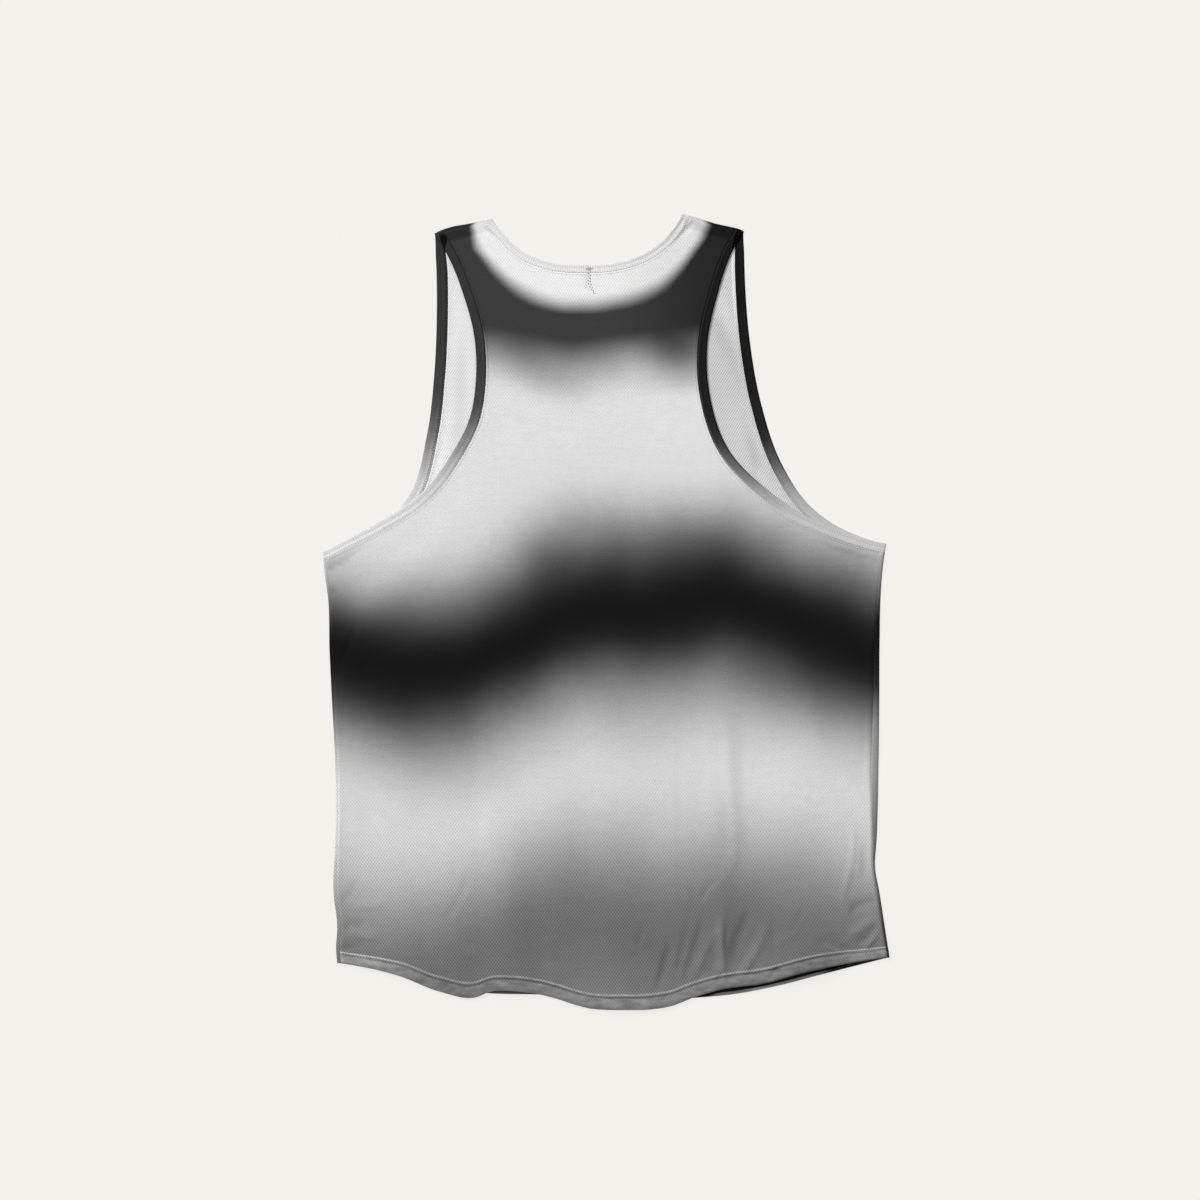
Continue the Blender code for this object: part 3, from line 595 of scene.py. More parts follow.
class Binding:
    """One closed ring of binding: a strip on the back, a fold, a strip in front and a fold."""

    def __init__(self, back, front, first, last, widths_back, widths_front, softness=1.0):
        """first and last are the folds that it crosses: edge, distance of its outer and inner side.

        Its relief is multiplied by its softness.
        """
        self.softness = softness
        self.folds = (first, last)
        self.outer = {"back": self.between_folds(back), "front": self.between_folds(front)}
        self.widths = {"back": widths_back, "front": widths_front}

    def fold_point(self, fold, side):
        """Where a fold begins in plan, on its outer or its inner side."""
        edge, outer, inner = self.folds[fold]
        return edge.inset(outer if side == "outer" else inner, BAND_FOLD_RADIUS).reshape(2)

    def between_folds(self, edge):
        """The edge with its ends drawn in to where the folds begin."""
        first, last = self.fold_point(0, "outer"), self.fold_point(1, "outer")
        near_first = 1 - ease(edge.marks / MITRE)[:, None]
        near_last = 1 - ease((edge.length - edge.marks) / MITRE)[:, None]
        line = edge.points + (first - edge.points[0]) * near_first + (last - edge.points[-1]) * near_last
        return Edge(line, edge.hand)

    def inner_line(self, layer, gap=0.0, ends=None):
        """The binding's inner side in plan, or the panel's edge when a gap is left beside it."""
        shares, widths = self.widths[layer]
        ends = ends or [self.fold_point(fold, "inner") for fold in (0, 1)]
        return offset_line(self.outer[layer], (shares, widths + gap), *ends)

    def strip(self, layer, shares):
        """Rows of points across the strip on its outward face, and the way out of that face."""
        outer, inner = self.outer[layer].points[:, None], self.inner_line(layer)[:, None]
        plan = outer + (inner - outer) * shares[None, :, None]
        up = 1.0 if layer == "back" else -1.0
        height = np.full(plan.shape[:2], 2 * BAND_FOLD_RADIUS if layer == "back" else 0.0)
        outward = np.zeros((*plan.shape[:2], 3))
        outward[..., 2] = up
        return np.dstack([plan, height]), outward

    def turn(self, fold, angle, shares):
        """The same for one row of a fold."""
        edge, outer, inner = self.folds[fold]
        distance = outer + (inner - outer) * shares
        outward = np.column_stack([edge.out(distance) * math.sin(angle),
                                   np.full(len(shares), math.cos(angle))])
        return turned(edge, distance, BAND_FOLD_RADIUS, angle)[None], outward[None]

    def ring(self):
        """The whole ring's points, section by section, and the fields that its material reads."""
        shares, faces = band_section()
        angles = FOLD_ANGLES[1:-1]
        front_points, front_outward = self.strip("front", shares)
        parts = [self.strip("back", shares)]
        parts += [self.turn(1, angle, shares) for angle in angles]
        parts += [(front_points[::-1], front_outward[::-1])]
        parts += [self.turn(0, angle, shares) for angle in angles[::-1]]
        parts += [[part[:1] for part in parts[0]]]
        points, outward = (np.concatenate(group) for group in zip(*parts))

        # Only the faces that look up carry the relief: what lies on the floor stays flat.
        upward = np.clip(outward[..., 2] * faces[None], 0.0, 1.0)
        relief = self.softness * band_relief(shares)[None] * upward
        drawn = crease_height(points[..., 0], points[..., 1], NECK_CREASES) * upward
        relief = relief + FINE_DEPTH * drawn
        height = 0.5 * BAND_WALL * (faces - 1.0) + faces * relief
        ring = points + outward * height[..., None]
        middle = points[:, np.argmin(abs(shares - 0.5))]
        along = np.concatenate([[0.0], np.cumsum(np.linalg.norm(np.diff(middle, axis=0), axis=1))])
        fields = {"crease": FINE_SHADE * drawn, "across": np.broadcast_to(shares, ring.shape[:2]),
                  "along": np.broadcast_to(along[:, None] * MM, ring.shape[:2])}
        return ring, fields

    def needle_line(self, layer, share):
        """A line of points on the strip's face that looks up, at a share of its width."""
        points, _ = self.strip(layer, np.array([share]))
        line = points[:, 0]
        line[:, 2] += self.softness * band_relief(share) + (BAND_WALL if layer == "front" else 0.0)
        return line


class Pattern:
    """The garment's outlines, and the edges that its panels and bindings share."""

    def __init__(self):
        self.side = {hand: Edge(smooth(SIDE[hand]), hand) for hand in (LEFT, RIGHT)}
        self.shoulder = {hand: Edge(smooth(SHOULDER[hand]), -hand) for hand in (LEFT, RIGHT)}
        self.arm_binding = {hand: self.make_arm_binding(hand) for hand in (LEFT, RIGHT)}
        folds = [(self.shoulder[hand], 0.0, NECK_BAND_AT_SHOULDER) for hand in (LEFT, RIGHT)]
        widths = (np.array([0.0, 1.0]), np.array([NECK_BAND, NECK_BAND]))
        self.neck_binding = Binding(Edge(smooth(NECK_BACK), -1.0), Edge(smooth(NECK_FRONT), -1.0),
                                    *folds, widths, widths, softness=0.35)
        self.back = {hand: self.back_half(hand) for hand in (LEFT, RIGHT)}
        self.front = {hand: HalfPanel(self, "front", hand, HEM_FRONT[hand], side_radius, FOLD_RADIUS,
                                      FRONT_ROWS, FRONT_COLUMNS) for hand in (LEFT, RIGHT)}

    def back_half(self, hand):
        """The back ends at its seams, which lie beside the part of the front that turns over."""
        def seam_depth(distance):
            return self.side_turn(hand, distance)
        return HalfPanel(self, "back", hand, HEM_BACK[hand], seam_depth, SHOULDER_TURN,
                         BACK_ROWS, BACK_COLUMNS)

    def make_arm_binding(self, hand):
        side, shoulder = self.side[hand], self.shoulder[hand]
        share, back, *fronts = np.array(ARM_BAND).T
        front = dict(zip((LEFT, RIGHT), fronts))[hand]
        folds = [(side, side.length, side.length - ARM_BAND_AT_SIDE),
                 (shoulder, shoulder.length, shoulder.length - ARM_BAND_AT_SHOULDER)]
        return Binding(Edge(smooth(ARMHOLE_BACK[hand]), hand), Edge(smooth(ARMHOLE_FRONT[hand]), hand),
                       *folds, (share, back), (share, front))

    def side_end(self, hand):
        """Distance up the side where the panels end, just under the binding."""
        return self.side[hand].length - ARM_BAND_AT_SIDE + UNDERLAP

    def shoulder_ends(self, hand):
        """Distances along the shoulder between which the panels lie."""
        far = self.shoulder[hand].length - ARM_BAND_AT_SHOULDER + UNDERLAP
        return NECK_BAND_AT_SHOULDER - UNDERLAP, far

    def side_turn(self, hand, distance):
        """Width of the front that shows beside the seam, at a distance up the side."""
        y, width = np.array(SIDE_TURN[hand]).T
        return np.interp(self.side[hand].at(distance)[..., 1], y, width)


class HalfPanel:
    """One half of a panel, ruled from its centre and neck to its side and armhole.

    The side and the shoulder lie inside the outline by side_depth(distance) and shoulder_depth.
    """

    def __init__(self, pattern, layer, hand, hem_points, side_depth, shoulder_depth, rows, columns):
        side, shoulder = pattern.side[hand], pattern.shoulder[hand]
        near, far = pattern.shoulder_ends(hand)
        at_side = np.linspace(0.0, pattern.side_end(hand), SIDE_POINTS)
        side_line = side.inset(at_side, side_depth(at_side))
        at_shoulder = np.linspace(near, far, SHOULDER_POINTS)
        self.top = Edge(shoulder.inset(at_shoulder, shoulder_depth))
        neck_ends = [pattern.shoulder[h].inset(pattern.shoulder_ends(h)[0], shoulder_depth).reshape(2)
                     for h in (LEFT, RIGHT)]
        whole_neck = pattern.neck_binding.inner_line(layer, -UNDERLAP, neck_ends)
        neck = half_of_neck(whole_neck, hand)
        armhole_ends = [side_line[-1], self.top.points[-1]]
        armhole = pattern.arm_binding[hand].inner_line(layer, -UNDERLAP, armhole_ends)
        self.neck = Edge(whole_neck)
        self.inner = Edge(np.vstack([[CENTRE_X, hem_points[0][1]], neck]))
        self.outer = Edge(np.vstack([side_line, armhole[1:]]))
        self.hem = Edge(smooth([*hem_points, tuple(side_line[0])]))
        self.columns = columns
        self.hand = hand
        self.side_length = Edge(side_line).length
        self.neck_low = neck_low = neck[0][1] - hem_points[0][1]
        arm_row_y = ARM_ROW_Y[layer]
        arm_mark = self.outer.nearest_to(*armhole[np.argmin(abs(armhole[:, 1] - arm_row_y))])
        underarm = UNDERARM_ROW_Y - hem_points[0][1]
        self.at_inner = steps((*HEM_MARKS, underarm, neck_low - NECK_MARGIN, neck_low,
                               self.inner.length - TOP_MARGIN, self.inner.length), rows)
        self.at_outer = steps((*HEM_MARKS, self.side_length, arm_mark - NECK_MARGIN, arm_mark,
                               self.outer.length - TOP_MARGIN, self.outer.length), rows)
        self.side_rows = sum(rows[:4]) + 1

    def shares(self, span):
        """How far across each row its points are: even ones, then close ones at the outer edge."""
        even = np.linspace(0.0, 1.0, self.columns + 1)[None, :-1]
        inside = 1.0 - EDGE_COLUMNS[0] / span
        return np.hstack([even * inside, 1.0 - np.array(EDGE_COLUMNS)[None] / span])

    def plan(self):
        """Points of the half panel in plan, row by row from the hem, and what each is far from."""
        at_inner, at_outer = self.at_inner[:, None], self.at_outer[:, None]
        inner, outer = self.inner.at(self.at_inner)[:, None], self.outer.at(self.at_outer)[:, None]
        span = np.linalg.norm(outer - inner, axis=2)
        share = self.shares(span)
        hem_share, top_share = share[0], share[-1]
        share = share[..., None]
        points = inner * (1 - share) + outer * share
        hem = self.hem.at(hem_share * self.hem.length)
        top = self.top.at(top_share * self.top.length)
        hem_hold = ease(1.0 - at_outer / HEM_REACH)[..., None]
        top_hold = ease(1.0 - (self.outer.length - at_outer) / SHOULDER_REACH)[..., None]
        points = points + (hem - points[0]) * hem_hold + (top - points[-1]) * top_hold
        share = share[..., 0]
        reach = {
            "hem": at_inner * (1 - share) + at_outer * share,
            "outer": (1 - share) * span,
            "top": np.broadcast_to(self.outer.length - at_outer, share.shape),
            "neck": abs(nearest_on(self.neck, points[..., 0], points[..., 1])[1]),
            "on_side": np.broadcast_to(at_outer <= self.side_length, share.shape),
            "calm": ease((1 - share) * span / EDGE_CALM)
            * ease((self.neck_low - at_inner) / NECK_CALM),
        }
        return points, reach


def half_of_neck(neck, hand):
    """The neck line from the centre line to one hand's shoulder."""
    crossing = int(np.argmax(neck[:, 0] > CENTRE_X))
    share = (CENTRE_X - neck[crossing - 1, 0]) / (neck[crossing, 0] - neck[crossing - 1, 0])
    low = neck[crossing - 1] * (1 - share) + neck[crossing] * share
    beyond = np.arange(crossing, len(neck)) if hand == RIGHT else np.arange(crossing - 1, -1, -1)
    return np.vstack([low, neck[beyond]])


def hem_scale(reach):
    """Distance up from the hem, stretched where the hem narrows towards the side seams."""
    depth = HEM_DEPTH_AT_SEAM + (HEM_DEPTH - HEM_DEPTH_AT_SEAM) * ease(reach["outer"] / HEM_NARROWS)
    return reach["hem"] * HEM_DEPTH / depth


def hem_relief(up, x):
    """The turned hem: a rounded edge, a soft band, the needle line and the ridge drawn up over it."""
    uneven = 0.75 + 0.25 * np.sin(x / 19.0 + 1.2 * np.sin(x / 43.0))
    edge = -0.7 * (1.0 - ease(up / 2.0))
    band = 0.35 * hump(up - 5.5, 5.0) * uneven
    needle_line = -0.36 * hump(up - NEEDLE_LINE_UP, 1.2)
    ridge = 1.10 * hump(up - RIDGE_UP, 1.8) * uneven
    pucker = np.sin((x + 0.6 * up) / 3.1) * 0.6 + np.sin((x - 0.4 * up) / 5.3 + 1.0) * 0.4
    pucker *= 0.24 * hump(up - 9.0, 11.0) * (0.6 + 0.4 * np.sin(x / 27.0 + 0.8))
    return edge + band + needle_line + ridge + pucker


def seam_relief(reach):
    """How the panel dips to its side and shoulder seams and under its bindings."""
    outer, top, neck = reach["outer"], reach["top"], reach["neck"]
    at_side = -0.12 * (1.0 - ease(outer / 1.2)) + 0.12 * hump(outer - 2.6, 2.0)
    at_binding = binding_dip(outer)
    sides = np.where(reach["on_side"], at_side, at_binding)
    return sides - 0.1 * (1.0 - ease(top / 1.4)) + 0.3 * binding_dip(neck)


def binding_dip(distance):
    """The panel's height beside a binding, at a distance from the edge that lies under it."""
    seen = distance - UNDERLAP
    return -0.35 * (1.0 - ease((seen + 0.2) / 1.0)) + 0.30 * hump(seen - 1.5, 1.3)


def add_grid(mesh, points, walls, fields):
    """Adds a sheet of quads whose corners are the rows of points, with its walls and its fields."""
    rows, columns = points.shape[0] - 1, points.shape[1] - 1
    weights = mesh.verts.layers.deform.verify()
    layers = [(mesh.verts.layers.float.get(name) or mesh.verts.layers.float.new(name), field)
              for name, field in fields.items()]
    made = bmesh.ops.create_grid(mesh, x_segments=columns, y_segments=rows, size=1.0)["verts"]
    for vert in made:
        column = round((vert.co.x + 1.0) / 2.0 * columns)
        row = round((vert.co.y + 1.0) / 2.0 * rows)
        vert.co = points[row, column] * MM
        vert[weights][0] = walls[row] / HEM_WALL
        for layer, field in layers:
            vert[layer] = field[row, column]


def link(name, data):
    made = bpy.data.objects.new(name, data)
    bpy.context.scene.collection.objects.link(made)
    return made


def weld(mesh):
    """Joins a piece's sheets and turns its outside face out: the highest face looks up."""
    bmesh.ops.remove_doubles(mesh, verts=mesh.verts, dist=WELD * MM)
    bmesh.ops.recalc_face_normals(mesh, faces=mesh.faces)
    highest = max(mesh.faces, key=lambda face: face.calc_center_median().z)
    if highest.normal.z < 0:
        bmesh.ops.reverse_faces(mesh, faces=mesh.faces)


def piece(name, mesh, finishes):
    data = bpy.data.meshes.new(name)
    mesh.to_mesh(data)
    mesh.free()
    data.shade_smooth()
    for finish in finishes:
        data.materials.append(finish)
    return link(name, data)


def thicken(made):
    """Gives an open sheet the thickness of its cloth, inwards, with its second finish inside."""
    made.vertex_groups.new(name="wall")
    cloth = made.modifiers.new("cloth", "SOLIDIFY")
    cloth.thickness = HEM_WALL * MM
    cloth.offset = -1.0
    cloth.vertex_group = "wall"
    cloth.material_offset = 1
    cloth.material_offset_rim = 0
    graph = bpy.context.evaluated_depsgraph_get()
    solid = bpy.data.meshes.new_from_object(made.evaluated_get(graph))
    solid.set_sharp_from_angle(angle=math.radians(60.0))
    open_sheet = made.data
    made.modifiers.clear()
    made.data = solid
    bpy.data.meshes.remove(open_sheet)
    return made


def walls_at(distance):
    """Thickness of a panel at a distance up from the hem's edge."""
    return np.where(distance < HEM_DEPTH + 0.5, HEM_WALL, CLOTH)


def panel_fields(reach, creases):
    """What a panel's finish reads: metres from each of its edges, and its creases' height in mm, which
    the finish paints as shade in hollows and light on ridges.
    """
    return {"crease": creases, "from_hem": hem_scale(reach) * MM, "from_neck": reach["neck"] * MM,
            "from_outer": reach["outer"] * MM, "from_top": reach["top"] * MM}


def make_back(pattern, finishes):
    mesh = bmesh.new()
    for hand in (LEFT, RIGHT):
        half = pattern.back[hand]
        plan, reach = half.plan()
        x, y = plan[..., 0], plan[..., 1]
        held = ease(reach["outer"] / 5.0) * ease(reach["neck"] / 9.0)
        creases = crease_height(x, y, BACK_CREASES) * held + crease_height(x, y, HEM_CREASES)
        drawn = crease_height(x, y, NECK_CREASES) * ease(reach["top"] / 3.0)
        drawn += crease_height(x, y, UNDERARM_CREASES) * ease(reach["outer"] / 3.0)
        relief = fold_height(x, y) * reach["calm"] + creases + ripples(x, y) * held
        lowest = LOWEST_AT_HEM + (LOWEST - LOWEST_AT_HEM) * ease(reach["hem"] / 20.0 - 0.5)
        height = 2.0 * side_radius(half.at_outer)[:, None] + kept_above(relief, lowest)
        height += FINE_DEPTH * drawn + hem_relief(hem_scale(reach), x) + seam_relief(reach)
        fields = panel_fields(reach, creases + FINE_SHADE * drawn)
        add_grid(mesh, np.dstack([plan, height]), walls_at(half.at_outer), fields)
    weld(mesh)
    return thicken(piece("back_panel_cloth", mesh, finishes))


def lay_front(mesh, half):
    """Half of the front that lies underneath."""
    plan, reach = half.plan()
    held = ease(reach["outer"] / 12.0) * ease(reach["neck"] / 12.0)
    creases = crease_height(plan[..., 0], plan[..., 1], FRONT_CREASES) * held
    height = 0.6 * np.clip(creases, 0.0, None)
    height += 0.35 * hump(reach["outer"] - 3.4, 2.4) * (1.0 - reach["on_side"])
    fields = panel_fields(reach, creases)
    add_grid(mesh, np.dstack([plan, height]), walls_at(half.at_outer), fields)


def turn_side(mesh, pattern, hand):
    """The front's side, which turns up and over to its seam on the back."""
    side, half = pattern.side[hand], pattern.front[hand]
    to_side = np.linspace(0.0, pattern.side_end(hand), SIDE_POINTS)
    half_side = Edge(side.inset(to_side, side_radius(to_side)))
    distances = half.at_outer[:half.side_rows]
    up_side = np.interp(distances, half_side.marks, to_side)
    radii = side_radius(up_side)
    width = pattern.side_turn(hand, up_side)
    rows = [turned(side, up_side, radii, angle) for angle in FOLD_ANGLES[::-1]]
    depths = [radii * (1.0 - math.sin(angle)) for angle in FOLD_ANGLES[::-1]]
    for share, dip in SIDE_TURN_DIPS:
        depths.append(radii + (width - radii) * share)
        rows.append(np.column_stack([side.inset(up_side, depths[-1]), 2.0 * radii - dip]))
    turn = np.stack(rows, axis=1)
    shade = np.interp(np.stack(depths, axis=1) / width[:, None], (0.0, 1.0), SIDE_SHADE[hand])
    far = np.ones(turn.shape[:2])
    fields = {"from_hem": distances[:, None] * far * MM, "from_neck": far, "from_outer": far,
              "from_top": far, "crease": shade}
    add_grid(mesh, turn, walls_at(distances), fields)


def turn_shoulder(mesh, pattern, hand):
    """The front's shoulder, which turns up and over to its seam in the same way."""
    shoulder, half = pattern.shoulder[hand], pattern.front[hand]
    near, end = pattern.shoulder_ends(hand)
    to_shoulder = np.linspace(near, end, SHOULDER_POINTS)
    half_shoulder = Edge(shoulder.inset(to_shoulder, FOLD_RADIUS))
    shares = half.shares(np.linalg.norm(half.outer.points[-1] - half.inner.points[-1]))[0]
    across = np.interp(shares * half_shoulder.length, half_shoulder.marks, to_shoulder)
    seam = shoulder.inset(across, np.full(len(across), SHOULDER_TURN))
    rows = [turned(shoulder, across, FOLD_RADIUS, angle) for angle in FOLD_ANGLES[::-1]]
    rows.append(np.column_stack([seam, np.full(len(across), 2.0 * FOLD_RADIUS - SHOULDER_TURN_DIP)]))
    turn = np.stack(rows, axis=1)
    far = np.ones(turn.shape[:2])
    fields = {"from_hem": far, "from_neck": (across - near + UNDERLAP)[:, None] * far * MM,
              "from_outer": far, "from_top": np.zeros_like(far), "crease": SHOULDER_SHADE * far}
    add_grid(mesh, turn, np.full(len(across), CLOTH), fields)


def make_front(pattern, finishes):
    mesh = bmesh.new()
    for hand in (LEFT, RIGHT):
        lay_front(mesh, pattern.front[hand])
        turn_side(mesh, pattern, hand)
        turn_shoulder(mesh, pattern, hand)
    weld(mesh)
    return thicken(piece("front_panel_cloth", mesh, finishes))


def make_binding(name, binding, finish):
    mesh = bmesh.new()
    ring, fields = binding.ring()
    add_grid(mesh, ring, np.full(len(ring), BAND_WALL), fields)
    weld(mesh)
    return piece(name, mesh, [finish])


class Surface:
    """A piece's upper face, asked for its height at a place."""

    def __init__(self, made):
        self.tree = BVHTree.FromObject(made, bpy.context.evaluated_depsgraph_get())

    def height(self, x, y):
        start = Vector((x * MM, y * MM, ABOVE * MM))
        hit = self.tree.ray_cast(start, Vector((0.0, 0.0, -1.0)))[0]
        return None if hit is None else hit.z / MM


def stitches_along(lines, pitch, length, radius):
    """Stitches in a row along each line of points, each a start, an end and a radius."""
    made = []
    for line in map(Edge, lines):
        for middle in np.arange(0.5 * pitch, line.length, pitch):
            ends = line.at(np.array([middle - 0.5 * length, middle + 0.5 * length]))
            ends[:, 2] += radius * (1.0 - 2.0 * SUNK)
            made.append((ends[0], ends[1], radius))
    return made


def sew(name, rows):
    """One piece of short lengths of thread, from pairs of stitches and their finish."""
    stitches = [stitch for row, _ in rows for stitch in row]
    ball = bmesh.new()
    bmesh.ops.create_uvsphere(ball, u_segments=6, v_segments=5, radius=1.0)
    shape = np.array([vert.co for vert in ball.verts])
    faces = sorted([vert.index for vert in face.verts] for face in ball.faces)
    ball.free()
    starts, ends = (np.array([stitch[k] for stitch in stitches], float) for k in (0, 1))
    radius = np.array([stitch[2] for stitch in stitches])[:, None, None]
    along = 0.5 * (ends - starts)[:, None]
    side = unit(np.cross(along, (0.0, 0.0, 1.0)))
    above = unit(np.cross(side, along))
    points = 0.5 * (starts + ends)[:, None] + shape[None, :, 2:] * along
    points = points + radius * (shape[None, :, :1] * side + shape[None, :, 1:2] * above)
    all_faces = [[index + k * len(shape) for index in face] for k in range(len(stitches))
                 for face in faces]
    data = bpy.data.meshes.new(name)
    data.from_pydata(points.reshape(-1, 3) * MM, [], all_faces)
    data.shade_smooth()
    for _, finish in rows:
        data.materials.append(finish)
    counts = [len(row) * len(faces) for row, _ in rows]
    data.polygons.foreach_set("material_index", np.repeat(np.arange(len(rows)), counts))
    return link(name, data)


def seated(surface, plan):
    """The plan's points on a surface, in unbroken stretches."""
    stretches = [[]]
    for x, y in plan:
        z = surface.height(x, y)
        if z is None:
            stretches.append([])
        else:
            stretches[-1].append((x, y, z))
    return [stretch for stretch in stretches if len(stretch) > 2]


def hem_line(half, up):
    """Points of a half panel at a height up its hem, from the centre to just short of the side."""
    plan, reach = half.plan()
    scaled = hem_scale(reach)[:HEM_ROWS]
    return np.array([[np.interp(up, scaled[:, k], plan[:HEM_ROWS, k, axis]) for axis in (0, 1)]
                     for k in range(plan.shape[1] - 2)])


def make_hem_stitching(name, halves, surface, finish):
    stitches = []
    for half in halves.values():
        stitches += stitches_along(seated(surface, hem_line(half, NEEDLE_LINE_UP)), *HEM_STITCH)
    return sew(name, [(stitches, finish)])


def make_binding_stitching(name, binding, panels, finishes):
    """Two needle rows: one on the binding, one on the panel just beside it."""
    lines = [binding.needle_line(layer, share) for layer, share in NEEDLE_SHARES.items()]
    rows = [(stitches_along(lines, *BINDING_STITCH), finishes["binding"])]
    for layer in NEEDLE_SHARES:
        beside = binding.inner_line(layer, BESIDE_BINDING)[UNDER_FOLD:-UNDER_FOLD]
        rows.append((stitches_along(seated(panels[layer], beside), *PANEL_STITCH), finishes[layer]))
    return sew(name, rows)


def make_seam_stitching(name, half, surface, finish):
    """The needle row that holds the back's side to the front."""
    side = Edge(half.outer.points[:SIDE_POINTS], half.hand)
    distance = np.linspace(HEM_DEPTH, side.length - BELOW_BINDING, SIDE_POINTS)
    plan = side.inset(distance, np.full(SIDE_POINTS, BESIDE_SEAM))
    return sew(name, [(stitches_along(seated(surface, plan), *SEAM_STITCH), finish)])


def make_bar_tack(surface, knot_finish, tail_finish):
    """The knot where the neck binding's ends join, and the loose chain of thread below it.

    The chain's loops lie to both sides of its line in turn, and narrow towards its free end.
    """
    top = 2 * BAND_FOLD_RADIUS + 0.1
    knot = [((x, y, top), (end_x, y + rise, top), radius) for x, y, end_x, rise, radius in KNOT]
    tail = Edge(smooth(TAIL))
    chain = []
    for k, distance in enumerate(np.arange(0.8, tail.length, LOOP_PITCH)):
        left = ease((tail.length - distance) / 12.0)
        sway = 0.30 + 0.65 * left
        radius = 0.34 + 0.09 * left
        x, y = tail.at(distance) + tail.out(distance) * (sway if k % 2 else -sway)
        z = surface.height(x, y) + 0.2
        chain.append(((x - 0.4, y + 0.4, z), (x + 0.4, y - 0.4, z), radius))
    return sew("neck_bar_tack", [(knot, knot_finish), (chain, tail_finish)])


class Value:
    """A number or colour at a socket of a material. Arithmetic on it adds the nodes for it."""

    def __init__(self, home, socket):
        self.home = home
        self.socket = socket

    def math(self, operation, *values):
        return self.home.add("ShaderNodeMath", {"operation": operation}, dict(enumerate(values)))

    def __add__(self, other):
        return self.math("ADD", self, other)

    def __radd__(self, other):
        return self.math("ADD", other, self)

    def __sub__(self, other):
        return self.math("SUBTRACT", self, other)

    def __rsub__(self, other):
        return self.math("SUBTRACT", other, self)

    def __mul__(self, other):
        return self.math("MULTIPLY", self, other)

    def __rmul__(self, other):
        return self.math("MULTIPLY", other, self)

    def __truediv__(self, other):
        return self.math("DIVIDE", self, other)

    def sine(self):
        return self.math("SINE", self)

    def absolute(self):
        return self.math("ABSOLUTE", self)

    def step(self, low, high):
        """A smooth step up, 0 at low and 1 at high."""
        return self.home.add("ShaderNodeMapRange", {"interpolation_type": "SMOOTHSTEP"},
                             {"Value": self, "From Min": low, "From Max": high})

    def fade(self, low, high):
        """A smooth step down, 1 at low and 0 at high."""
        return 1.0 - self.step(low, high)

    def near(self, place, within, beyond):
        """1 within a distance of a place, and 0 beyond a longer one."""
        return (self - place).absolute().fade(within, beyond)

    def toward(self, other, share):
        """This value where the share is 0, the other where it is 1."""
        return self * (1.0 - share) + share * other

    def ramp(self, stops):
        """A tone read smoothly from stops: this value, tone."""
        low, high = stops[0][0], stops[-1][0]
        shares = [((value - low) / (high - low), tone) for value, tone in stops]
        return self.home.add("ShaderNodeValToRGB", {"interpolation": "B_SPLINE", "stops": shares},
                             {"Fac": (self - low) / (high - low)})


class Finish:
    """A material whose nodes are written as expressions."""

    def __init__(self, name):
        self.data = bpy.data.materials.new(name)
        self.data.use_nodes = True
        self.nodes = self.data.node_tree.nodes
        self.nodes.clear()

    def add(self, kind, settings=None, sockets=None, output=0):
        """Adds a node with its settings, then the values or links of its sockets."""
        node = self.nodes.new(kind)
        for name, value in (settings or {}).items():
            if name == "stops":
                self.set_stops(node.color_ramp, value)
            elif name == "interpolation":
                node.color_ramp.interpolation = value
            else:
                setattr(node, name, value)
        for key, value in (sockets or {}).items():
            if isinstance(value, Value):
                self.data.node_tree.links.new(value.socket, node.inputs[key])
            else:
                node.inputs[key].default_value = value
        return Value(self, node.outputs[output]) if node.outputs else None

    @staticmethod
    def set_stops(ramp, stops):
        while len(ramp.elements) > 1:
            ramp.elements.remove(ramp.elements[-1])
        for k, (position, tone) in enumerate(stops):
            stop = ramp.elements[0] if k == 0 else ramp.elements.new(position)
            stop.position = position
            stop.color = (tone, tone, tone, 1.0)

    def place(self):
        """The object's own x, y and z, in millimetres."""
        place = self.add("ShaderNodeTexCoord", output="Object")
        axes = [self.add("ShaderNodeSeparateXYZ", sockets={"Vector": place}, output=axis)
                for axis in "XYZ"]
        return [axis / MM for axis in axes]

    def field(self, name):
        """One of the mesh's own fields."""
        return self.add("ShaderNodeAttribute", {"attribute_name": name}, output="Fac")

    def distance(self, name):
        """One of the mesh's own fields in metres, turned into millimetres."""
        return self.field(name) / MM

    def noise(self, x, y, detail=2.0, roughness=0.5, seed=0.0):
        """Smooth noise about 0.5 over a plan already scaled to the size of its blotches."""
        vector = self.add("ShaderNodeCombineXYZ", sockets={"X": x, "Y": y, "Z": seed})
        return self.add("ShaderNodeTexNoise", sockets={
            "Vector": vector, "Scale": 1.0, "Detail": detail, "Roughness": roughness})

    def finish(self, tone, tint, roughness, height, depth, sheen=FUZZ):
        """The cloth's shader: a grey tone with a tint, fuzz, and its knit raised by so many mm."""
        colour = self.add("ShaderNodeMix", {"data_type": "RGBA"},
                          {"Factor": tone, "A": (0.0, 0.0, 0.0, 1.0), "B": (*tint, 1.0)}, output=2)
        bump = self.add("ShaderNodeBump", sockets={
            "Strength": 1.0, "Distance": depth * MM, "Height": height})
        shader = self.add("ShaderNodeBsdfPrincipled", sockets={
            "Base Color": colour, "Roughness": roughness, "Metallic": 0.0, "Normal": bump,
            "Sheen Weight": sheen, "Sheen Roughness": 0.45, "Specular IOR Level": 0.03})
        self.add("ShaderNodeOutputMaterial", sockets={"Surface": shader})
        return self.data


def on_right(x):
    """0 on the garment's left side and 1 on its right."""
    return x.step(-60.0, 60.0)


def right_of_neck(x):
    """The same across the neck alone."""
    return x.step(-10.0, 60.0)


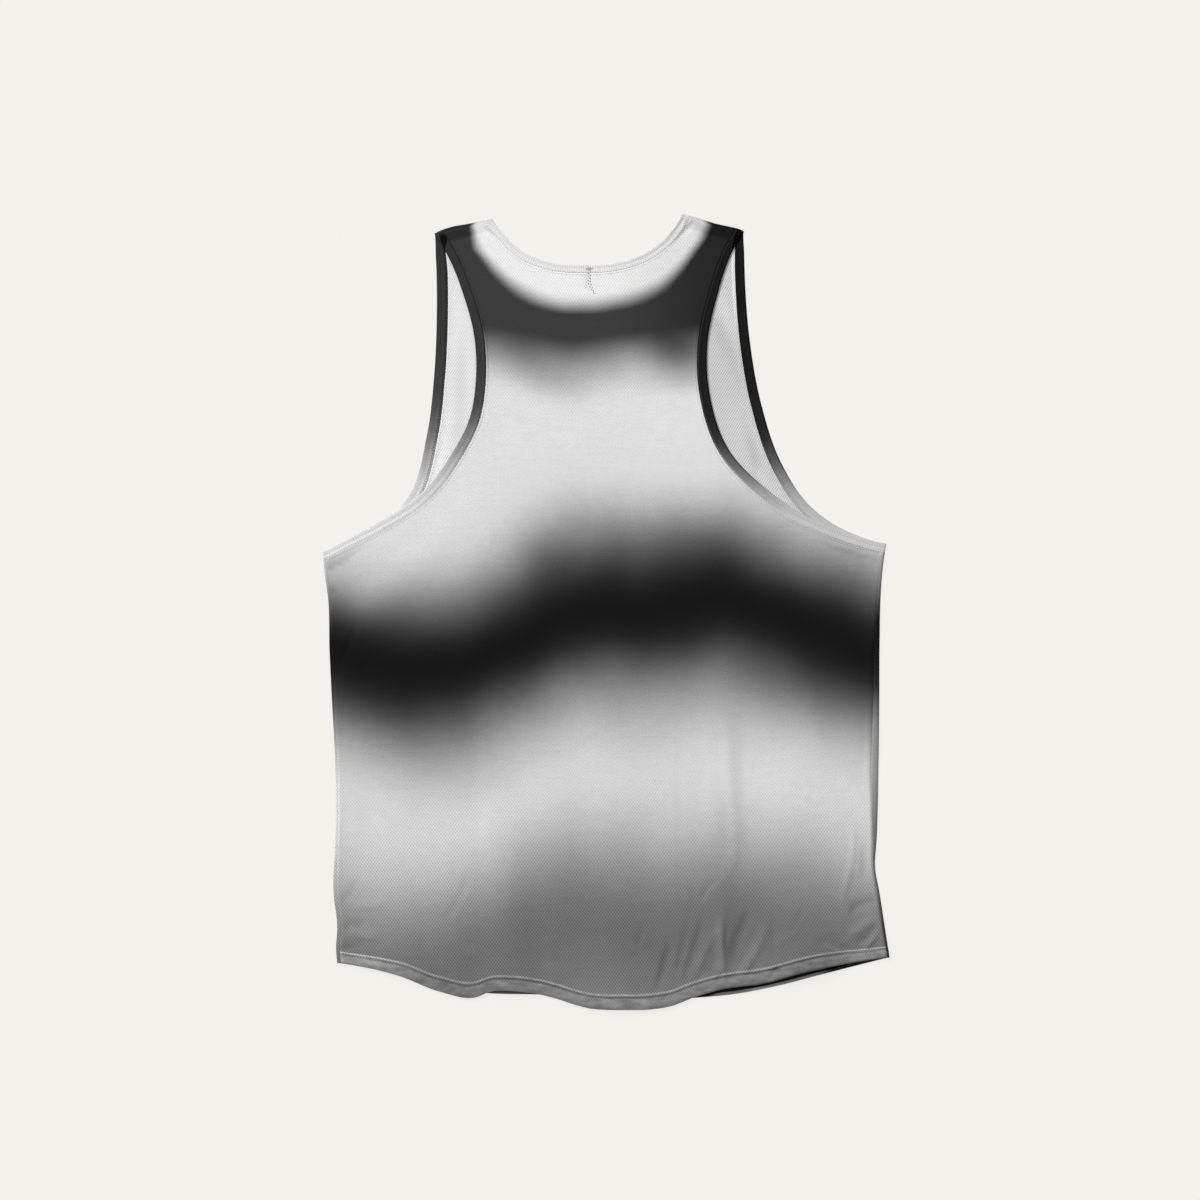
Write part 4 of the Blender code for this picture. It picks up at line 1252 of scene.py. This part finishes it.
def mesh_holes(x, y):
    """Staggered small holes of a mesh knit: 1 in the middle of each and 0 on the yarn between."""
    waves = (x * (2 * math.pi / HOLES_ACROSS)).sine() * (y * (math.pi / HOLES_UP)).sine()
    hollow = 0.5 - waves * 0.5
    return hollow * hollow


def knit_holes(finish, x, y):
    """The printed mesh and how much its holes show.

    Its rows run a little askew, and its holes show most towards the hem.
    """
    sway = finish.noise(x / 120.0, y / 120.0, detail=0.0, seed=17.0) * 5.0
    holes = mesh_holes(x + y * 0.03 + sway, y - x * 0.04 + sway * 0.6)
    patchy = finish.noise(x / 45.0, y / 30.0, detail=1.0, seed=19.0)
    single = finish.noise(x / 3.5, y / 3.5, detail=0.0, seed=29.0)
    high = y.step(150.0, 220.0)
    low = y.fade(-320.0, -90.0)
    return holes, (0.10 + high * 0.12 + low * (0.22 + patchy * 0.60)) * (0.6 + single * 0.8)


def courses(finish, x, y):
    """The faint unevenness of the knit's rows, about 0."""
    rows = finish.noise(x / 26.0, y / 2.6, detail=3.0, roughness=0.6, seed=3.0)
    blotches = finish.noise(x / 9.0, y / 9.0, detail=2.0, seed=8.0)
    return (rows - 0.5) * 0.5 + (blotches - 0.5) * 0.3


def shading_print(finish, x, y, lift):
    """The print's tone away from the yoke: soft waving bands, pale and near black."""
    drift = finish.noise(x / 230.0, y / 230.0, detail=1.0, seed=5.0) - 0.5
    fine_drift = finish.noise(x / 80.0, y / 100.0, detail=1.0, seed=1.0) - 0.5
    wave = (x / 75.0 - 2.2).sine() * 24.0 + (x / 33.0).sine() * 4.0
    height = y - x * 0.035 + wave + drift * 60.0 + fine_drift * 24.0 + lift
    return height.ramp(PRINT_BANDS)


def panel_tone(finish, x, y, lift):
    """The bands and the dark yoke above them."""
    drift = (finish.noise(x / 90.0, y / 90.0, detail=1.0, seed=21.0) - 0.5) * 60.0
    yoke = (y + drift + (x / 48.0 + 2.0).sine() * 9.0).step(190.0, 256.0)
    yoke_tone = YOKE_TONE * (1.0 - x.step(0.0, 110.0) * 0.6)
    return shading_print(finish, x, y, lift).toward(yoke_tone, yoke)


def printed_tone(finish, x, y, lift):
    """The whole print, with its pale fade round the neck, and darker along the shoulder seams."""
    tip = y.step(322.0, 356.0) * (1.08 - on_right(x) * 0.93)
    from_neck = finish.distance("from_neck") * (1.0 + y.step(266.0, 330.0) * 0.5 + tip)
    wander = (finish.noise(x / 60.0, y / 60.0, detail=1.0, seed=11.0) - 0.5) * 7.5
    pale = (from_neck + wander).fade(21.5, 39.0)
    by_shoulder_seam = (finish.distance("from_top") + wander * 0.2).fade(8.0, 13.0)
    shoulder_seam_darkening = 1.0 - by_shoulder_seam * (0.45 - pale * 0.34)
    neck = NECK_TONE * (1.0 - right_of_neck(x) * 0.11)
    return panel_tone(finish, x, y, lift).toward(neck, pale) * shoulder_seam_darkening


def crease_shade(finish):
    """The shade that gathers in creases, and the light on their ridges."""
    return 1.0 + finish.field("crease") * SHADE


def hem_shade(finish, x, y, up, wander):
    """How the turned hem changes its tone: a painted highlight on its ridge and painted shade in its
    needle line.
    """
    pulls = finish.noise(x / 5.0, y / 5.0, seed=31.0)
    ridge = up.near(wander + (RIDGE_UP + 0.8), 0.3, 1.3)
    groove = up.near(wander + (RIDGE_UP - 1.2), 0.2, 1.0)
    return 1.0 + pulls * (ridge * 1.20 - groove * 0.14)


def hem_ends(x, up):
    """How much lighter the turned hem is towards the side seams."""
    ends = x.fade(-235.0, -140.0) * 0.65 + x.step(190.0, 235.0) * 0.40
    return 1.0 + up.fade(13.0, 14.4) * ends


def seam_shade(finish, x, y, tone):
    """How the back's seams change its tone.

    The left's seams catch the light, the right side seam lies in a shadow, and so does the edge
    beside the left armhole's binding.
    """
    right = on_right(x)
    from_outer = finish.distance("from_outer")
    on_side = from_outer.near(0.7, 0.3, 1.3) * y.fade(-10.0, 30.0)
    beside_tape = from_outer.near(1.9, 0.3, 0.9) * y.step(48.0, 60.0) * y.fade(150.0, 190.0)
    on_shoulder = finish.distance("from_top").near(1.6, 0.2, 1.2) * tone.fade(0.03, 0.12)
    shade = (1.0 + on_side * (0.26 - right * 0.52)) * (1.0 + on_shoulder * (0.5 - right * 0.4))
    return shade * (1.0 - beside_tape * (1.0 - right) * 0.24)


def make_back_finish():
    """Printed mesh knit of the back."""
    finish = Finish("printed_knit_back")
    x, y, _ = finish.place()
    holes, strength = knit_holes(finish, x, y)
    uneven = courses(finish, x, y)
    up = finish.distance("from_hem")
    single = up.step(10.0, 12.5)
    puckers = finish.noise(x / 14.0, y / 6.0, detail=3.0, seed=13.0) - 0.5
    tone = printed_tone(finish, x, y, 0.0) * hem_shade(finish, x, y, up, puckers * 0.8)
    # The turned hem's band is a little lighter, with painted light and shade of its puckers.
    tone = tone * (1.0 + (1.0 - single) * (puckers * 1.6 + 0.14)) * crease_shade(finish)
    # Painted shade along the hem's rounded edge on the right.
    tone = tone * (1.0 - up.fade(0.2, 2.8) * x.step(60.0, 110.0) * 0.5) * hem_ends(x, up)
    tone = tone * (1.0 - (holes - 0.3) * strength * (0.5 + single * 0.5)) * (1.0 + uneven * 0.26)
    tone = tone * seam_shade(finish, x, y, tone)
    relief = uneven * 0.4 - holes * single * 0.6
    return finish.finish(tone, KNIT_TINT, 0.62 + uneven * 0.25, relief, KNIT_DEPTH)


def front_tone(finish, x, y):
    """The front's own print: the same bands, a darker side that turns over to the back, and a darker hem
    on the right.
    """
    # Towards the side the hem is lighter again: painted light where the back's lifted hem casts its
    # shadow on it.
    hem = y.fade(-300.0, -270.0) * x.step(40.0, 90.0)
    tone = printed_tone(finish, x, y, 4.0).toward(x.step(122.0, 160.0) * 0.28 + 0.12, hem)
    return tone.toward(y.ramp(FRONT_SIDE_BANDS), x.step(186.0, 206.0))


def make_front_finish():
    """Printed mesh knit of the front, where it turns over to the back."""
    finish = Finish("printed_knit_front")
    x, y, _ = finish.place()
    holes, strength = knit_holes(finish, x, y)
    uneven = courses(finish, x, y)
    tone = front_tone(finish, x, y) * (1.0 - (holes - 0.3) * strength) * (1.0 + uneven * 0.26)
    tone = tone * crease_shade(finish)
    return finish.finish(tone, KNIT_TINT, 0.62, uneven * 0.4 - holes * 0.6, KNIT_DEPTH)


def slanting_strokes(x, y):
    """The mesh as its inside shows it: strokes that slant in two directions."""
    across = x * (2 * math.pi * STROKES_ACROSS)
    steep, flat = ((across - y * (2 * math.pi * up)).sine() for up in STROKES_UP)
    return steep * 0.6 + flat * 0.4


def make_inside_finish():
    """The unprinted inside of the knit. Its turned hem shows the print, and above the hem a painted
    shadow darkens it nearly to black, where the back's hem lies over it.
    """
    finish = Finish("plain_knit_inside")
    x, y, _ = finish.place()
    strokes = slanting_strokes(x, y)
    uneven = courses(finish, x, y)
    # Soft painted light and shade of the inside's folds, stronger on the right.
    shaded = finish.noise((x + y * 0.5) / 26.0, y / 90.0, detail=1.0, seed=23.0) - 0.5
    right = on_right(x)
    # Painted shade: the inside is darker on the right, away from the light.
    tone = (0.77 - right * 0.19) * (1.0 + shaded * (0.06 + right * 0.12)) * crease_shade(finish)
    tone = tone * (1.0 + strokes * (0.13 + right * 0.20) + uneven * 0.05)
    # Painted highlight on the raised edge beside the right armhole's binding, near its top.
    ridge_highlight = finish.distance("from_outer").fade(3.6, 4.4)
    tone = tone.toward(0.84, ridge_highlight * right * y.step(235.0, 290.0))
    up = finish.distance("from_hem")
    band = up.fade(12.6, 13.4)
    # Painted shadow: on the right, the hem's band turns near black above its lowest few millimetres,
    # under the back's hem edge.
    gap = (up - x.step(88.0, 104.0) * 2.4).step(-0.4, 0.7)
    shaded_hem = 1.0 - gap * x.step(60.0, 76.0) * 0.96
    tone = tone.toward(front_tone(finish, x, y) * shaded_hem, band)
    # Painted shadow above the hem, under the back's hem.
    shadow_above_hem = (1.0 - band) * up.fade(24.0, 40.0)
    return finish.finish(tone.toward(0.02, shadow_above_hem), PLAIN_TINT, 0.66, strokes + uneven, RIB_DEPTH)


def parted_layers(x, y, across):
    """1 where the two layers of an armhole's binding part, next to the shoulder tips: a painted shadow
    fills the gap there.
    """
    parted_right = (across - (y - 321.0) * 0.040).fade(-0.04, 0.06)
    off_gap = (across - (y - 325.0) * 0.056).absolute() - y.step(323.0, 336.0) * 0.34
    parted_left = off_gap.fade(-0.06, 0.08) * y.fade(337.0, 342.5)
    return parted_left.toward(parted_right, on_right(x))


def make_tape_finish(name, base, edge_dark):
    """Ribbed binding. base(finish, x, y) gives its tone before the ribs; edge_dark darkens its edges,
    partly the print's darker edge and partly painted shade where they turn away.
    """
    finish = Finish(name)
    x, y, z = finish.place()
    along, across = finish.distance("along"), finish.field("across")
    right = on_right(x)
    ribs = (along * (2 * math.pi / RIB_PITCH)).sine() * 0.5 + 0.5
    uneven = finish.noise(along / 3.0, across * 6.0, seed=2.0) - 0.5
    # Painted shade at the edges, together with the print's darker edge.
    edge = across.fade(0.04, 0.17) * (0.5 + right * 0.5) + across.step(0.90, 0.99)
    tone = base(finish, x, y)
    edge_dark = edge_dark * (1.0 - tone.step(0.06, 0.40) * 0.88)
    tone = tone * (1.0 - ribs * (0.16 + uneven * 0.4)) * (1.0 - edge * edge_dark)
    tone = tone * crease_shade(finish)

    # On the back, a painted highlight lies on the seam's ridge on the right, and a painted shadow in the
    # gap where the layers part at the shoulder tips.
    on_back = z.step(1.9, 2.5)
    shine = across.near(0.86, 0.02, 0.09) * right * on_back
    parted_shadow = parted_layers(x, y, across) * on_back
    tone = tone * (1.0 + shine * edge_dark * 1.6) * (1.0 - parted_shadow * edge_dark * 1.2)
    return finish.finish(tone, PLAIN_TINT, 0.68, ribs * 0.5 + uneven, RIB_DEPTH)


def neck_tone(finish, x, y):
    uneven = finish.noise(x / 40.0, y / 40.0, seed=4.0) * 0.06
    return (uneven + 0.77) * (1.0 - right_of_neck(x) * 0.07)


def neck_tape_tone(finish, x, y):
    """The binding's outer half is flatter and darker than its seam, on the right above all."""
    outer_half = finish.field("across").fade(0.35, 0.62)
    right = right_of_neck(x)
    # The left tip is darker: painted shade against the light that the binding's fold catches there.
    tip = y.step(345.0, 353.0) * (1.0 - right)
    return neck_tone(finish, x, y) * (1.0 - outer_half * (0.04 + right * 0.11)) * (1.0 - tip * 0.14)


def armhole_tone(finish, x, y):
    """Near black at the shoulders, fading to light grey towards the underarms."""
    wander = (finish.noise(x / 30.0, y / 30.0, seed=6.0) - 0.5) * 30.0
    right = on_right(x)
    height = y + wander - 6.0 + right * 20.0
    return height.ramp(ARMHOLE_FADE) * (1.0 - right * (0.24 + y.step(100.0, 160.0) * 0.48))


def make_thread_finish(name, base):
    """Sewing thread, a little shinier than the cloth that it lies on."""
    finish = Finish(name)
    x, y, _ = finish.place()
    twist = ((x + y) * 5.0).sine() * 0.5 + 0.5
    tone = base(finish, x, y) * (0.9 + twist * 0.15)
    return finish.finish(tone, PLAIN_TINT, 0.5, twist, 0.04, sheen=0.0)


def back_thread_tone(finish, x, y):
    return panel_tone(finish, x, y, 0.0) * 0.75 + on_right(x) * 0.02


def front_thread_tone(finish, x, y):
    return y.ramp(FRONT_SIDE_BANDS) * 1.3 + 0.01


def armhole_thread_tone(finish, x, y):
    return armhole_tone(finish, x, y) * (0.8 - y.step(85.0, 150.0) * 0.4)


def inside_thread_tone(finish, x, y):
    # Darker on the right, like the inside's painted shade.
    return 0.70 - on_right(x) * 0.1


def knot_tone(finish, x, y):
    return KNOT_TONE


def tail_tone(finish, x, y):
    return TAIL_TONE


def make_floor():
    """A wide plain pale floor."""
    mesh = bmesh.new()
    bmesh.ops.create_grid(mesh, x_segments=1, y_segments=1, size=FLOOR_HALF)
    finish = Finish("pale_floor")
    x, y, _ = finish.place()
    grain = finish.noise(x / 3.0, y / 3.0, seed=7.0)
    tone = FLOOR_TONE + (grain - 0.5) * 0.002
    made = finish.finish(tone, FLOOR_TINT, 0.9, grain, 0.01, sheen=0.0)
    shader = finish.nodes["Principled BSDF"]
    shader.inputs["Emission Color"].default_value = (*FLOOR_TINT, 1.0)
    shader.inputs["Emission Strength"].default_value = FLOOR_GLOW
    piece("floor", mesh, [made])


def make_camera():
    """Straight above, from far enough away that the garment shows no perspective."""
    data = bpy.data.cameras.new("camera")
    data.lens = LENS
    data.sensor_width = SENSOR
    data.clip_end = FARTHEST
    camera = link("camera", data)
    camera.location = (VIEW_X, VIEW_Y, VIEW_WIDTH * LENS / SENSOR)
    bpy.context.scene.camera = camera


def make_light():
    """Even studio light from all round, and a broad soft one from the upper left."""
    world = bpy.data.worlds.new("studio")
    world.use_nodes = True
    background = world.node_tree.nodes["Background"]
    background.inputs["Color"].default_value = (1.0, 1.0, 1.0, 1.0)
    background.inputs["Strength"].default_value = STUDIO_LIGHT
    bpy.context.scene.world = world
    for name, energy, angle, toward in LAMPS:
        lamp = bpy.data.lights.new(name, "SUN")
        lamp.energy = energy
        lamp.angle = math.radians(angle)
        soft = link(name, lamp)
        soft.rotation_euler = Vector(toward).to_track_quat("Z", "Y").to_euler()


def attach(made, slot, *nodes):
    """Lets a piece ride on the garment and hides the solids it stands for. Its slot is not used."""
    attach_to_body(made, "root")
    if nodes:
        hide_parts(*nodes)


def dress_panels(pattern):
    """Both panels. Returns their upper faces."""
    inside = make_inside_finish()
    back = make_back(pattern, [make_back_finish(), inside])
    front = make_front(pattern, [make_front_finish(), inside])
    attach(back, "back_knit", "back_panel")
    attach(front, "front_knit", "front_panel")
    return {"back": Surface(back), "front": Surface(front)}


def dress_neck(pattern, surfaces):
    """The neck's binding with its stitches."""
    neck = make_binding("neck_binding_cloth", pattern.neck_binding,
                        make_tape_finish("neck_tape_finish", neck_tape_tone, 0.05))
    attach(neck, "neck_tape", "neck_binding")
    thread = make_thread_finish("pale_thread", neck_tone)
    threads = {"binding": thread, "back": thread, "front": thread}
    sewing = make_binding_stitching("neck_stitching", pattern.neck_binding, surfaces, threads)
    attach(sewing, "neck_tape")


def dress_armholes(pattern, surfaces, back_thread):
    """Both armholes' bindings with their stitches, and the side seams' stitches below them."""
    tape = make_tape_finish("armhole_tape_finish", armhole_tone, 0.75)
    threads = {"binding": make_thread_finish("armhole_thread", armhole_thread_tone),
               "back": back_thread,
               "front": make_thread_finish("inside_thread", inside_thread_tone)}
    for hand, side_name in SIDE_NAMES.items():
        binding = pattern.arm_binding[hand]
        made = make_binding(f"armhole_binding_{side_name}_cloth", binding, tape)
        attach(made, "armhole_tape", f"armhole_binding_{side_name}")
        sewing = make_binding_stitching(f"armhole_stitching_{side_name}", binding, surfaces, threads)
        attach(sewing, "armhole_tape")
        seam = make_seam_stitching(f"side_seam_stitching_{side_name}", pattern.back[hand],
                                   surfaces["back"], back_thread)
        attach(seam, "back_knit")


def dress_hems(pattern, surfaces, threads):
    """The needle row of each hem."""
    for layer, halves in (("back", pattern.back), ("front", pattern.front)):
        hem = make_hem_stitching(f"{layer}_hem_stitching", halves, surfaces[layer], threads[layer])
        attach(hem, f"{layer}_knit")


def tack_neck(surface):
    """The bar tack at the join of the neck's binding, and its loose thread."""
    bar_tack = make_bar_tack(surface, make_thread_finish("knot_thread", knot_tone),
                             make_thread_finish("tail_thread", tail_tone))
    attach(bar_tack, "neck_tape")


def main():
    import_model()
    bpy.context.scene.view_settings.view_transform = "Standard"
    make_camera()
    make_light()
    make_floor()

    pattern = Pattern()
    surfaces = dress_panels(pattern)
    dress_neck(pattern, surfaces)
    threads = {"back": make_thread_finish("back_thread", back_thread_tone),
               "front": make_thread_finish("front_thread", front_thread_tone)}
    dress_armholes(pattern, surfaces, threads["back"])
    dress_hems(pattern, surfaces, threads)
    tack_neck(surfaces["back"])


main()
